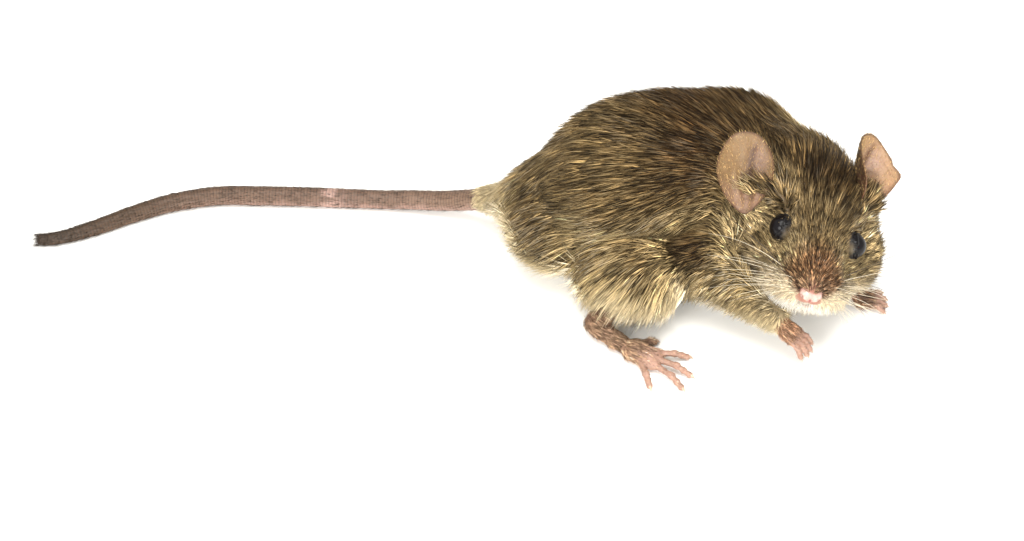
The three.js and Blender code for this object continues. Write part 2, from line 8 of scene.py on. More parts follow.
import bpy
import numpy as np
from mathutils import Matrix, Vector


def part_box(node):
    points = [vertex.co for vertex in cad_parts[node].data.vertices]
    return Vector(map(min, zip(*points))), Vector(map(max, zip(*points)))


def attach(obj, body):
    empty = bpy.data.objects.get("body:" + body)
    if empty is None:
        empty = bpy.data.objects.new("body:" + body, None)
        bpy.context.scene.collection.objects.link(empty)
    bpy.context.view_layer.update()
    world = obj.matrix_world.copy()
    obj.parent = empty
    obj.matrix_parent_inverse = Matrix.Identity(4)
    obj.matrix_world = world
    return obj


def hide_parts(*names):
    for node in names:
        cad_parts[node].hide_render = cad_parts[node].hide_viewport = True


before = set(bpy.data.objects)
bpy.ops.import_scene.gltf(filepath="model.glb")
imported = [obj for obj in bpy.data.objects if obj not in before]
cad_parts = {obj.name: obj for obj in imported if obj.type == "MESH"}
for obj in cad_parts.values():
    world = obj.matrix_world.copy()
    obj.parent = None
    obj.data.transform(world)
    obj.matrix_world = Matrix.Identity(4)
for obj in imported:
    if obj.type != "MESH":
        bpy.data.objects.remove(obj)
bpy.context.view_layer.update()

RNG = np.random.default_rng(41)

# ---- Driving values, mm unless said otherwise ----
EYE_AT = (0.1, 5.05, 0.15)  # middle of the left eye in the head's frame
EYE_RADIUS = 1.75
EYE_AXIS = (0.2, 0.94, 0.27)  # the way that the left eye looks, in the head's frame
LID_RADIUS = 1.9
LID_OPENING = (1.58, 1.82)  # half its length and half its height
LID_RING = 1.74  # height of the dark rim of the lids over the eye's middle
LID_NARROW = 0.87  # the rim's half width as a share of that
LID_BALL = 1.8  # the rim lies on a ball of this radius
LID_THICKNESS = 0.12
COAT_DEPTH = 1.25  # of the coat on the trunk, between skin and hair tips
FACE_DEPTH = 0.2  # the same beside the nose
TUFT_REACH = 4.2  # length of a tuft as a multiple of the coat's depth
MOST_TUFTS = 147000
DARK_HAIRS = 0.28  # share of the tufts that are dark throughout
STRAYS = 0.18  # share of the tufts that stand off the coat
TRUNK_DENSITY = 25.0  # tufts per square millimetre
FACE_DENSITY = 64.0
FOOT_DENSITY = 60.0
EAR_DENSITY = 16.0
TUFT_WIDTH = 0.19
FACE_TUFT_WIDTH = 0.09
FOOT_TUFT_WIDTH = 0.055  # and on the ears
LOCK_WIDTH = 0.4  # the coat gathers in locks about this wide
LOCK_PULL = 0.2  # how strongly
LOCK_LIFT = 0.7  # how far a lock raises its tips, as a share of the coat's depth
HAIR_SPREAD = 0.085  # how far tufts lean at random from the lie of the coat
FRINGE_PULL = 1.1  # how strongly the hair of the chin hangs down
PIECE_TUFTS = 19000  # tufts in one piece of the coat
TAIL_RING = 0.46  # from one ring of scales to the next
TAIL_BRISTLES = 5200
CLAW_SIZES = (0.62, 0.85)  # fore and hind
PATCH = 0.003  # width of a tuft's patch on the unwrap
ROOT_SUNK = 0.12  # depth of a tuft's root in the skin
MIDDLE_AT = 0.55  # where a tuft's middle counts as lying, from 0 at its root to 1 at its tip
COARSE_CELL = 0.6  # of the body's net
FINE_CELL = 0.27  # the head's
FOOT_CELL = 0.2
BODY_GRID = ((-8.4, 58, 33, 53), (-26, 24, -21, -0.5), (-0.4, 32, 4.5, 24))  # ends, then the fine part's
FLOOR_GAP = 0.05  # hairs stay this far above the floor
WHISKER_ROWS, WHISKER_COLUMNS = 5, 6
CAMERA_DISTANCE = 0.366  # metres from the layout's origin
CAMERA_ELEVATION = 46  # degrees
LENS, SENSOR = 90, 36
FLOOR_HALF = 3.0  # half the floor's width, metres
LIT = (1.0, 0.985, 0.96)
LIGHTS = (  # name, place and size in metres, watts, colour
    ("overhead", (0.02, -0.05, 0.6), 0.5, 4.6, LIT),
    ("front_left", (-0.3, -0.5, 0.45), 0.35, 2.6, LIT),
    ("sparkle", (0.085, -0.36, 0.075), 0.05, 1.3, (1, 1, 1)),
)
LIGHTS_AIM = (0.02, 0, 0.01)

UP = np.array((0.0, 0.0, 1.0))


# ---- Vectors, frames, ramps and noise ----
def unit(v):
    """The vectors v, each divided by its length."""
    v = np.asarray(v, float)
    return v / np.maximum(np.linalg.norm(v, axis=-1, keepdims=True), 1e-9)


def frame_at(origin, heading, pitch=0.0, roll=0.0):
    """Axes and origin of a frame turned by heading about Z, front raised by pitch and left side by roll."""
    h, p, r = np.radians([heading, -pitch, roll])
    about_z = np.array([[np.cos(h), -np.sin(h), 0], [np.sin(h), np.cos(h), 0], [0, 0, 1]])
    about_y = np.array([[np.cos(p), 0, np.sin(p)], [0, 1, 0], [-np.sin(p), 0, np.cos(p)]])
    about_x = np.array([[1, 0, 0], [0, np.cos(r), -np.sin(r)], [0, np.sin(r), np.cos(r)]])
    return about_z @ about_y @ about_x, np.array(origin, float)


def out_of(place, p):
    """Points p of a frame, in the layout."""
    return np.asarray(p, float) @ place[0].T + place[1]


def into(place, p):
    """Points p of the layout, in a frame."""
    return (np.asarray(p, float) - place[1]) @ place[0]


def turned(place, d):
    """Directions d of a frame, in the layout."""
    return np.asarray(d, float) @ place[0].T


def ramp(x, low, high):
    """0 below low, 1 above high, and an S-shaped rise 3t2 - 2t3 between them."""
    t = np.clip((x - low) / (high - low), 0.0, 1.0)
    return t * t * (3 - 2 * t)


def noise(p, size, seed=0):
    """Smooth values from -1 to 1: random numbers at the corners of a lattice of that size, blended."""
    q = np.asarray(p, float) / size
    cell = np.floor(q).astype(np.int64)
    f = q - cell
    f = f * f * (3 - 2 * f)
    total = np.zeros(len(q))
    for corner in np.ndindex(2, 2, 2):
        c = cell + corner
        h = (c[:, 0] * 73856093) ^ (c[:, 1] * 19349663) ^ (c[:, 2] * 83492791) ^ (seed * 2654435761)
        h = (h ^ (h >> 13)) * 1274126177 & 0x7FFFFFFF
        value = ((h ^ (h >> 15)) & 0xFFFF) / 32767.5 - 1
        share = np.prod(np.where(corner, f, 1 - f), axis=1)
        total += value * share
    return total


def paint(*rgb):
    """A colour given in 0..255 as it is seen, or a list of them, as the linear values that shaders take."""
    c = np.array(rgb[0] if len(rgb) == 1 else rgb, float) / 255
    return np.where(c <= 0.04045, c / 12.92, ((c + 0.055) / 1.055) ** 2.4)


def mix(a, b, t):
    """Colours a and b mixed by t, one t for each row."""
    return a + (b - a) * np.asarray(t)[:, None]


def bell(x):
    """1 at 0, falling on both sides as exp(-x^2)."""
    return np.exp(-(x**2))


def turns(count):
    """Even angles round a circle, from 0."""
    return 2 * np.pi * np.arange(count) / count


def distance(p, point):
    """How far each of p is from one point."""
    return np.linalg.norm(p - np.array(point), axis=1)


def off_segment(q, a, b):
    """How far the flat points q are from the straight line between a and b."""
    a, b = np.array(a, float), np.array(b, float)
    q = q - a
    t = np.clip((q @ (b - a)) / ((b - a) @ (b - a)), 0, 1)
    return np.linalg.norm(q - t[..., None] * (b - a), axis=-1)


# ---- Fields: signed distances, negative inside ----
WORLD = frame_at((0, 0, 0), 0)
HEAD = frame_at((41.8, -7.6, 14.4), -95, 17, -12)  # origin midway between the eyes


def ellipsoid(centre, radii, place=WORLD):
    """Distance to an ellipsoid: k(k - 1)/s, k the point's size in radii and s the slope of k."""
    centre, radii = np.array(centre, float), np.array(radii, float)

    def field(p):
        q = (into(place, p) - centre) / radii
        k = np.linalg.norm(q, axis=1)
        return k * (k - 1) / np.maximum(np.linalg.norm(q / radii, axis=1), 1e-6)

    return field


def rod(a, b, ra, rb, place=WORLD):
    """Distance to a rod with round ends: to its axis, less a radius that goes evenly from ra to rb."""
    a, b = out_of(place, a), out_of(place, b)
    axis = b - a
    length = np.linalg.norm(axis)
    axis = axis / length
    lean = (ra - rb) / length
    upright = np.sqrt(1 - lean * lean)

    def field(p):
        q = p - a
        along = q @ axis
        away = np.sqrt(np.maximum(np.einsum("ij,ij->i", q, q) - along * along, 0))
        foot = np.clip(along - away * lean / upright, 0, length)
        return np.hypot(along - foot, away) - (ra + (rb - ra) * foot / length)

    return field


def least(d, e, softness):
    """The lesser of two distances, less h^2 softness/4, where h is 1 - |d - e|/softness and not below 0."""
    h = np.maximum(softness - np.abs(d - e), 0) / softness
    return np.minimum(d, e) - h * h * softness / 4


def blend(fields, softness):
    """The nearest of several fields, run together where two are within softness of each other."""

    def field(p):
        d = fields[0](p)
        for other in fields[1:]:
            d = least(d, other(p), softness)
        return d

    return field


def pressed(base, dents, softness):
    """A field with others pressed into it: the greater of it and each dent turned inside out, softened."""

    def field(p):
        d = base(p)
        for dent in dents:
            d = -least(-d, dent(p), softness)
        return d

    return field


def slope(field, p, step=0.02):
    """The field's value at p and its gradient, from a small step along each axis."""
    here = field(p)
    return here, np.stack([field(p + step * e) - here for e in np.eye(3)], axis=1) / step


# ---- The body under the coat's tips ----
LEAN = frame_at((23.0, 5.6, 12.4), 0, 0, 44)
SHOULDERS = frame_at((31.4, 8.8, 11.0), 0, 0, 44)
trunk = blend(
    [
        rod((-4.4, 9.4, 5.0), (3.0, 6.8, 7.2), 1.9, 3.6),  # root of the tail
        rod((3.5, 6.8, 7.6), (16.0, 4.8, 12.8), 3.4, 11.7),  # rump
        ellipsoid((8.0, 3.4, 8.2), (9.0, 10.2, 7.8)),  # haunches
        ellipsoid((0, 0, 0), (13.8, 13.0, 10.0), LEAN),  # loin and ribs
        ellipsoid((0, 0, 0), (10.8, 11.9, 9.0), SHOULDERS),
        rod((33.5, 7.6, 11.6), (40.2, 3.8, 12.8), 8.4, 8.0),  # neck
    ],
    3.2,
)
SIDES = (1, -1)
skull = blend(
    [
        ellipsoid((-7.0, 0, -0.2), (8.4, 7.4, 6.6), HEAD),  # braincase
        rod((-3, 0, -0.6), (4.5, 0, -1.9), 5.3, 3.6, HEAD),  # brow and bridge
        rod((4.5, 0, -2.1), (9.1, 0, -3.1), 3.6, 1.6, HEAD),  # muzzle
        *(ellipsoid((5.8, s * 2.2, -4.1), (3.1, 2.3, 2.3), HEAD) for s in SIDES),  # whisker pads
        *(ellipsoid((-4.4, s * 5.2, -3.4), (6.2, 5.2, 5.6), HEAD) for s in SIDES),  # cheeks
        rod((-6.4, -6.4, 1.8), (-2.9, -7.4, 2.3), 3.2, 3.9, HEAD),  # roots of the ears
        ellipsoid((-8.0, 6.0, 2.8), (3.2, 2.8, 3.2), HEAD),
        ellipsoid((2.4, 0, -5.2), (6.0, 6.6, 3.8), HEAD),  # jaw
        ellipsoid((-4.0, 0, -5.0), (7.4, 8.6, 5.2), HEAD),  # throat
    ],
    1.5,
)
head = pressed(skull, [ellipsoid((0.2, s * 8.9, 0.3), (3.4, 3.4, 3.4), HEAD) for s in SIDES], 1.2)
ELBOW = (25.8, -6.4, 8.6)
limbs = [
    ellipsoid((0, 0, 0), (8.4, 6.6, 6.6), frame_at((16.9, -8.0, 7.2), -10)),
    ellipsoid((0, 0, 0), (8.4, 5.4, 6.6), frame_at((18.6, 15.6, 7.2), -10)),
    rod((31.4, 0.8, 10.6), ELBOW, 4.8, 4.4),
    rod(ELBOW, (36.2, -15.2, 6.4), 4.4, 1.9),
    rod((40.0, 4.0, 9.0), (47.6, -5.8, 3.6), 4.4, 1.6),
]
whole = blend([blend([trunk, head], 3.2), *limbs], 2.0)
coat_surface = pressed(whole, [lambda p: p[:, 2] - 1.2], 5.0)

NOSE = (10.5, 0, -3.8)  # in the head's frame
WRIST_RIGHT = (36.0, -15.0, 6.3)
WRIST_LEFT = (46.4, -4.6, 4.4)
ANKLE_RIGHT = (12.2, -12.6, 3.4)
ANKLE_LEFT = (16.8, 16.4, 3.4)
TAIL_ROOT = (-3.9, 9.6, 4.9)
TAIL_OUT = (-5.4, 9.8, 4.4)  # where the bare tail comes out of the coat
# Where the coat thins out besides the nose: a place and its reach.
THIN_COAT = ((WRIST_RIGHT, 9), (WRIST_LEFT, 9), (ANKLE_RIGHT, 7), (ANKLE_LEFT, 7), (TAIL_ROOT, 9))


def coat_depth(p):
    """Depth of the coat: full on the trunk, an S-shaped fall to almost nothing at nose, wrists and ankles."""
    share = ramp(distance(into(HEAD, p), NOSE), 1.5, 24)
    for point, reach in THIN_COAT:
        share = np.minimum(share, ramp(distance(p, point), 0.5, reach) * 0.9 + 0.1)
    return FACE_DEPTH + (COAT_DEPTH - FACE_DEPTH) * share


def eye_middle(side):
    """The middle of an eye in the head's frame: side is 1 for the left eye, -1 for the right one."""
    return EYE_AT[0], side * EYE_AT[1], EYE_AT[2]


def eye_frame(side):
    """A frame at an eye: X out along the way that it looks, Z up the eye."""
    out = unit(turned(HEAD, (EYE_AXIS[0], side * EYE_AXIS[1], EYE_AXIS[2])))
    high = turned(HEAD, (-0.18, 0, 1))
    high = unit(high - out * (high @ out))
    return np.stack([out, np.cross(high, out), high], axis=1), out_of(HEAD, eye_middle(side))


def lid_opening(side):
    """The opening between the lids: an oval tube along the way that the eye looks, cut off behind the eye."""
    place = eye_frame(side)
    half_length, half_height = LID_OPENING

    def field(p):
        q = into(place, p)
        oval = (np.hypot(q[:, 1] / half_length, q[:, 2] / half_height) - 1) * half_length
        return np.maximum(oval, -q[:, 0])

    return field


nose_pad = blend(
    [
        *(ellipsoid((9.9, s * 0.64, -3.7), (0.7, 0.9, 0.72), HEAD) for s in SIDES),
        ellipsoid((9.85, 0, -4.15), (0.62, 0.55, 0.5), HEAD),
    ],
    0.5,
)
lips = [ellipsoid((8.2, s * 0.85, -4.8), (1.3, 1.0, 0.8), HEAD) for s in SIDES]
chin = ellipsoid((6.6, 0, -6.3), (2.2, 1.6, 1.0), HEAD)
nostrils = [ellipsoid((10.15, s * 1.2, -4.0), (0.5, 0.26, 0.2), HEAD) for s in SIDES]
cleft = ellipsoid((10.6, 0, -4.45), (0.6, 0.1, 0.55), HEAD)
mouth = ellipsoid((8.4, 0, -5.8), (1.5, 1.5, 0.16), HEAD)
openings = [lid_opening(s) for s in SIDES]
lids = [ellipsoid(eye_middle(s), (LID_RADIUS,) * 3, HEAD) for s in SIDES]


def from_eyes(p):
    """How far p is from the nearer opening between lids, and from the nearer eye's middle."""
    opening = np.minimum(*(opening(p) for opening in openings))
    return opening, np.minimum(*(distance(p, eye_frame(s)[1]) for s in SIDES))


SWELLINGS = ((nose_pad, 0.3), *((lip, 0.6) for lip in lips), (chin, 0.9), *((lid, 0.9) for lid in lids))
HOLLOWS = (
    *((nostril, 0.2) for nostril in nostrils),
    (cleft, 0.15),
    (mouth, 0.2),
    *((opening, 0.1) for opening in openings),
)


def skin_field(p):
    """The coat's surface sunk by the coat's depth, with lids, nose, lips and chin run onto it and opened."""
    base = coat_surface(p) + coat_depth(p)
    for extra, softness in SWELLINGS:
        base = least(base, extra(p), softness)
    for dent, softness in HOLLOWS:
        base = -least(-base, dent(p), softness)
    return base


# ---- Meshing a field ----
def spaced(low, high, fine_low, fine_high, coarse=COARSE_CELL, fine=FINE_CELL):
    """Grid lines from low to high, fine apart between fine_low and fine_high and coarse apart elsewhere."""
    before = np.arange(low, fine_low, coarse)
    middle = np.arange(before[-1] + coarse, fine_high, fine)
    return np.concatenate([before, middle, np.arange(middle[-1] + coarse, high + coarse, coarse)])


def net(field, lines):
    """Surface nets: one point in each cell that the surface crosses, at the mean of the crossings on the
    cell's edges, then moved down the field's slope onto the surface; one quad for each crossed edge."""
    shape = tuple(len(line) for line in lines)
    value = np.empty(shape, np.float32)
    plane = np.stack(np.meshgrid(lines[1], lines[2], indexing="ij"), -1).reshape(-1, 2)
    for i, x in enumerate(lines[0]):
        value[i] = field(np.column_stack([np.full(len(plane), x), plane])).reshape(shape[1:])
    inside = value < 0
    corners = list(np.ndindex(2, 2, 2))
    part = lambda corner: inside[tuple(slice(k, n - 1 + k) for k, n in zip(corner, shape))]
    count = sum(part(corner).astype(np.int8) for corner in corners)
    cells = np.argwhere((count > 0) & (count < 8))
    number = np.full(count.shape, -1)
    number[tuple(cells.T)] = np.arange(len(cells))
    node = lambda c: np.stack([lines[k][c[:, k]] for k in range(3)], axis=1)
    total, crossings = np.zeros((len(cells), 3)), np.zeros(len(cells))
    for axis in range(3):
        for corner in corners:
            if corner[axis]:
                continue
            start = cells + corner
            end = start + np.eye(3, dtype=int)[axis]
            vs, ve = value[tuple(start.T)], value[tuple(end.T)]
            hit = (vs < 0) != (ve < 0)
            t = np.where(hit, vs / np.where(hit, vs - ve, 1), 0)[:, None]
            total += hit[:, None] * (node(start) * (1 - t) + node(end) * t)
            crossings += hit
    points = total / crossings[:, None]
    reach = 0.4 * min(np.diff(line).min() for line in lines)
    for _ in range(3):
        here, way = slope(field, points)
        steep = np.maximum(np.einsum("ij,ij->i", way, way), 0.25)
        points -= way * np.clip(here / steep, -reach, reach)[:, None]
    quads = []
    for axis in range(3):
        u, v = np.eye(3, dtype=int)[(axis + 1) % 3], np.eye(3, dtype=int)[(axis + 2) % 3]
        low, high = [slice(None)] * 3, [slice(None)] * 3
        low[axis], high[axis] = slice(0, -1), slice(1, None)
        edges = np.argwhere(inside[tuple(low)] != inside[tuple(high)])
        quad = np.stack([number[tuple((edges - step).T)] for step in (0 * u, u, u + v, v)], axis=1)
        out = ~inside[tuple(edges.T)]
        quad[out] = quad[out][:, ::-1]
        quads.append(quad)
    return points, np.concatenate(quads)


# ---- Grids: a row of rings, closed at both ends ----
def ring_faces(rows, columns):
    """Quads between each ring and the next, and fans to one more point at each end. The rings turn
    anticlockwise seen from the far end, so the faces point outwards."""
    i, j = np.meshgrid(np.arange(rows - 1), np.arange(columns), indexing="ij")
    n = (j + 1) % columns
    here, there = i * columns, (i + 1) * columns
    quads = np.stack([here + j, here + n, there + n, there + j], -1).reshape(-1, 4)
    j = np.arange(columns)
    n = (j + 1) % columns
    first, last, top = rows * columns, rows * columns + 1, (rows - 1) * columns
    near = np.stack([n, j, np.full(columns, first)], 1)
    far = np.stack([top + j, top + n, np.full(columns, last)], 1)
    return quads, np.concatenate([near, far])


def smooth_line(points, steps):
    """Catmull-Rom curve through the points: a cubic between each two, its slopes from their neighbours."""
    p = np.asarray(points, float)
    p = np.vstack([2 * p[0] - p[1], p, 2 * p[-1] - p[-2]])
    t = np.linspace(0, len(p) - 3, steps)
    i = np.minimum(t.astype(int), len(p) - 4)
    f = (t - i)[:, None]
    a, b, c, d = p[i], p[i + 1], p[i + 2], p[i + 3]
    return 0.5 * (2 * b + (c - a) * f + (2 * a - 5 * b + 4 * c - d) * f**2 + (3 * b - a - 3 * c + d) * f**3)


def tube(line, radii, columns):
    """Rings of the given radii carried along a line, with a point past each end to close it."""
    ahead = unit(np.gradient(line, axis=0))
    aside = unit(np.cross(UP, ahead))
    high = np.cross(ahead, aside)
    angle = turns(columns)
    circle = aside[:, None] * np.cos(angle)[:, None] + high[:, None] * np.sin(angle)[:, None]
    rings = line[:, None] + circle * np.asarray(radii)[..., None, None]
    ends = np.stack([line[0] - ahead[0] * radii[0] * 0.4, line[-1] + ahead[-1] * radii[-1] * 0.4])
    quads, fans = ring_faces(len(line), columns)
    return np.vstack([rings.reshape(-1, 3), ends]), quads, fans


# ---- Feet ----
def chain(points, radii, place):
    """Rods from each point to the next."""
    pairs = zip(points, points[1:], radii, radii[1:])
    return [rod(a, b, ra, rb, place) for a, b, ra, rb in pairs]


def toe_rods(knuckle, bend, tip, size, place):
    """Three bones with a swelling at each joint and a pad under the tip."""
    knuckle, bend, tip = (np.array(v, float) for v in (knuckle, bend, tip))
    joint = bend + (tip - bend) * 0.55
    rods = chain([knuckle, bend, joint, tip], [size, size * 0.86, size * 0.8, size * 0.72], place)
    swellings = [ellipsoid(bend, (size,) * 3, place), ellipsoid(joint, (size * 0.88,) * 3, place)]
    pad = ellipsoid(tip - (0.0, 0.0, 0.08), (size * 0.95, size * 0.95, size * 0.78), place)
    return [*rods, *swellings, pad]


HIND_TOES = (  # knuckle, bend and tip, in the foot's frame, inner toe first
    ((6.4, 0.8, 1.05), (7.4, 1.9, 1.05), (8.0, 2.9, 0.56)),
    ((9.4, 0.6, 1.1), (11.7, 1.8, 1.2), (13.2, 2.7, 0.56)),
    ((9.8, -0.3, 1.1), (13.0, -0.05, 1.2), (15.0, -0.1, 0.56)),
    ((9.8, -1.2, 1.05), (13.2, -2.0, 1.15), (15.1, -2.7, 0.56)),
    ((8.3, -1.8, 1.05), (10.0, -3.4, 1.0), (11.2, -4.6, 0.56)),
)
TOE_SIZE = 0.46
FINGER_SIZE = 0.42


def hind_foot(place, side):
    """Field and digits of a hind foot: a sole of rods, a shank and five toes run together. side is 1 where
    the inner toe is on the foot's left."""
    flip = np.array((1, side, 1))
    p = lambda *v: flip * v
    sole = chain(
        [p(-0.2, 0.5, 2.3), p(0.9, 0.5, 1.6), p(3.4, -0.2, 1.3), p(6.4, -0.5, 1.15), p(9.2, -0.5, 1.0)],
        [1.3, 1.3, 1.0, 1.1, 0.95],
        place,
    )
    ball = [
        rod(p(6.6, 0.0, 1.1), p(9.6, 0.5, 1.05), 0.95, 0.85, place),
        rod(p(6.6, -0.9, 1.1), p(9.7, -1.4, 1.05), 0.95, 0.85, place),
    ]
    shank = chain([p(0.1, 0.5, 2.4), p(1.1, 1.5, 4.8), p(3.4, 3.8, 6.9)], [1.15, 1.35, 1.7], place)
    digits = [tuple(p(*v) for v in toe) for toe in HIND_TOES]
    toes = [blend(toe_rods(*d, TOE_SIZE, place), 0.25) for d in digits]
    return blend([blend([*sole, *ball, *shank], 1.0), *toes], 0.55), digits


def forepaw(place, reach, spread, droop, wrist):
    """Field and digits of a forepaw: a palm between wrist and knuckles, and four fingers fanned by spread."""
    hand = into(place, np.array(wrist, float))
    middle = [hand, hand * 0.4 + np.array((-0.7, 0, 0.1)), (-0.6, 0, 0), (0.7, 0, -0.05)]
    palm = chain(middle, [0.95, 0.9, 1.0, 0.85], place)
    sides = [rod((-0.5, s * 0.3, 0), (0.6, s * 0.85, -0.05), 0.75, 0.6, place) for s in SIDES]
    digits = []
    for k in (-1.5, -0.5, 0.5, 1.5):
        length, fan = reach - 0.45 * abs(k), k * spread
        bend = (0.9 + length * 0.5, k * 0.78 + fan * 0.4, 0.1 - droop * 0.3)
        digits.append(((0.5, k * 0.7, -0.1), bend, (0.8 + length, k * 0.82 + fan, -droop)))
    fingers = [blend(toe_rods(*d, FINGER_SIZE, place), 0.22) for d in digits]
    return blend([blend([*palm, *sides], 0.8), *fingers], 0.4), digits


FEET = {  # frame, maker and the maker's values
    "hind_foot_right": (frame_at((11.4, -12.8, 0), -30), hind_foot, (1,)),
    "hind_foot_left": (frame_at((16.0, 16.6, 0), 6), hind_foot, (-1,)),
    "forepaw_right": (frame_at((38.1, -17.1, 5.4), -30, -22), forepaw, (2.9, 0.22, 0.9, WRIST_RIGHT)),
    "forepaw_left": (frame_at((49.9, -6.6, 1.05), 0, -4), forepaw, (2.1, 0.35, 0.4, WRIST_LEFT)),
}


def foot_mesh(field, digits, place):
    """The net of one foot, kept above the floor, in a box that reaches a little past its digits and shank."""
    marks = out_of(place, np.vstack([np.vstack(d) for d in digits] + [np.array([(-4.5, 0, 0), (4.5, 4, 8)])]))
    low, high = marks.min(0) - 3.2, marks.max(0) + 3.2
    grounded = lambda p: np.maximum(field(p), -p[:, 2])
    return net(grounded, [np.arange(a, b, FOOT_CELL) for a, b in zip(low, high)])


# ---- Ears ----
EAR_LENGTH, EAR_WIDTH, EAR_THICKNESS = 11.2, 7.8, 0.5


def ear_frame(root, facing, tip):
    """A frame at an ear's root: X the way that it faces, Z up the ear. All three are in the head's frame."""
    out = unit(turned(HEAD, facing))
    aside = unit(np.cross(turned(HEAD, tip), out))
    return np.stack([out, aside, np.cross(out, aside)], axis=1), out_of(HEAD, root)


def ear_mesh(place, cup, curl, folds, rim_bump):
    """A cupped leaf closed into a thin shell. Its outline is an egg, narrowed below by 1 - 0.34 s^1.5; its
    middle line is bent by curl (h - 1/2)^2, its edges brought forward by cup e^2 (5/4 - h), and its
    middle pressed in. Folds are ridges added to the front; rim_bump makes the outline uneven."""
    columns, rows = 96, 26
    share = np.sin(np.linspace(0.03, 1, rows) * np.pi / 2)
    s, a = np.meshgrid(share, turns(columns), indexing="ij")
    up, across = np.sin(a), np.cos(a)
    edge_share = s * (1 + rim_bump(a) * s**4)
    y = edge_share * across * EAR_WIDTH / 2 * (1 - 0.34 * np.maximum(0, -up) ** 1.5)
    z = EAR_LENGTH / 2 * (1 + edge_share * up)
    e, h = 2 * y / EAR_WIDTH, z / EAR_LENGTH
    x = cup * e * e * (1.25 - h) + curl * (h - 0.5) ** 2 - 0.8 * (1 - s)
    x += 0.12 * ramp(s, 0.86, 0.97)  # the rim rolls forwards
    thick = EAR_THICKNESS * (1 - 0.45 * s) / 2
    front = np.stack([x + thick + folds(e, h) * (1 - s**6), y, z], -1)
    back = np.stack([x - thick, y, z], -1)
    round_rim = np.stack([x[-1], y[-1] * 1.012, EAR_LENGTH / 2 + (z[-1] - EAR_LENGTH / 2) * 1.012], -1)
    rings = np.concatenate([back, round_rim[None], front[::-1]])
    poles = np.stack([back[0].mean(0), front[0].mean(0)])
    quads, fans = ring_faces(len(rings), columns)
    points = out_of(place, np.vstack([rings.reshape(-1, 3), poles]))
    rim = np.concatenate([np.repeat(np.concatenate([share, [1.0], share[::-1]]), columns), [0, 0]])
    side = np.repeat([0, 0.5, 1], [rows * columns, columns, rows * columns])
    return (points, quads, fans), rim, np.concatenate([side, [0, 1]])


def on_leaf(place, p):
    """How far across and how far up an ear its points lie: -1 to 1 and 0 to 1."""
    q = into(place, p)
    return 2 * q[:, 1] / EAR_WIDTH, q[:, 2] / EAR_LENGTH


def ridge(e, h, a, b, width, rise):
    """A rounded ridge of that rise and width along the straight line from a to b on the ear's face."""
    return rise * bell(off_segment(np.stack([e, h], -1), a, b) / width)


def right_folds(e, h):
    """The right ear's folds: a shallow bowl, and ridges that rise from its root."""
    bowl = -0.35 * np.exp(-(((e + 0.1) / 0.5) ** 2) - ((h - 0.42) / 0.3) ** 2)
    low = ridge(e, h, (-0.15, 0.1), (-0.35, 0.42), 0.1, 0.35)
    low = low + ridge(e, h, (0.3, 0.08), (0.42, 0.3), 0.1, 0.3)
    return 1.3 * bowl + 1.4 * low + ridge(e, h, (-0.1, 0.45), (0.2, 0.8), 0.1, 0.3)


def left_folds(e, h):
    """The left ear's folds: a deeper bowl with three slanting creases across its upper half."""
    bowl = -0.3 * np.exp(-((e / 0.5) ** 2) - ((h - 0.42) / 0.3) ** 2)
    steps = (0.0, 0.11, 0.22)
    creases = sum(ridge(e, h, (0.05, 0.62 + k), (0.75, 0.5 + k * 1.2), 0.055, 0.24) for k in steps)
    return bowl + creases + ridge(e, h, (0.1, 0.1), (0.4, 0.4), 0.1, 0.35)


def smooth_rim(a):
    """A rim that waves a little."""
    return 0.012 * np.sin(3 * a + 1) + 0.008 * np.sin(7 * a)


def nicked_rim(a):
    """A rim with a small nick and a lobe below it on its outer edge."""
    near = lambda centre, width: bell((((a - centre + np.pi) % (2 * np.pi)) - np.pi) / width)
    return smooth_rim(a) - 0.04 * near(0.27, 0.08) + 0.055 * near(0.02, 0.14)


RIGHT_EAR = ear_frame((-1.6, -10.3, 0.1), (0.86, -0.22, 0.46), (-0.5, -0.22, 0.84))
LEFT_EAR = ear_frame((-8.7, 5.4, 0.9), (0.58, 0.75, 0.32), (-0.26, -0.02, 0.94))
EARS = (  # frame, cup, curl, folds, rim and the glow of its inside
    (RIGHT_EAR, 1.8, 1.0, right_folds, smooth_rim, 1.0),
    (LEFT_EAR, 4.4, 1.0, left_folds, nicked_rim, 1.55),
)

# ---- Tail ----
TAIL_LINE = (
    (-0.5, 8.2, 6.2), (-3.2, 9.5, 5.0), (-6.8, 10.7, 3.6), (-10.5, 11.7, 2.5), (-14.9, 12.6, 1.8),
    (-19.3, 13.1, 1.38), (-28.8, 13.6, 1.38), (-36.9, 13.9, 1.35), (-43.5, 13.9, 1.28), (-49.9, 12.5, 1.2),
    (-55.5, 10.1, 1.1), (-60.4, 7.6, 1.0), (-65.2, 5.7, 0.9), (-68.6, 5.3, 0.82),
)
TAIL_RADII = (1.7, 1.5, 1.4, 1.45, 1.45, 1.35, 1.2, 0.85)
TAIL_ROWS, TAIL_COLUMNS = 560, 20


def tail_path(rows):
    """The tail's middle line, its radius and the way run from its root, at each of many even steps."""
    line = smooth_line(TAIL_LINE, rows * 3)
    run = np.concatenate([[0], np.cumsum(np.linalg.norm(np.diff(line, axis=0), axis=1))])
    even = np.linspace(0, run[-1], rows)
    line = np.stack([np.interp(even, run, line[:, k]) for k in range(3)], axis=1)
    radius = np.interp(even / run[-1], np.linspace(0, 1, len(TAIL_RADII)), TAIL_RADII) - 0.06
    return line, radius, even


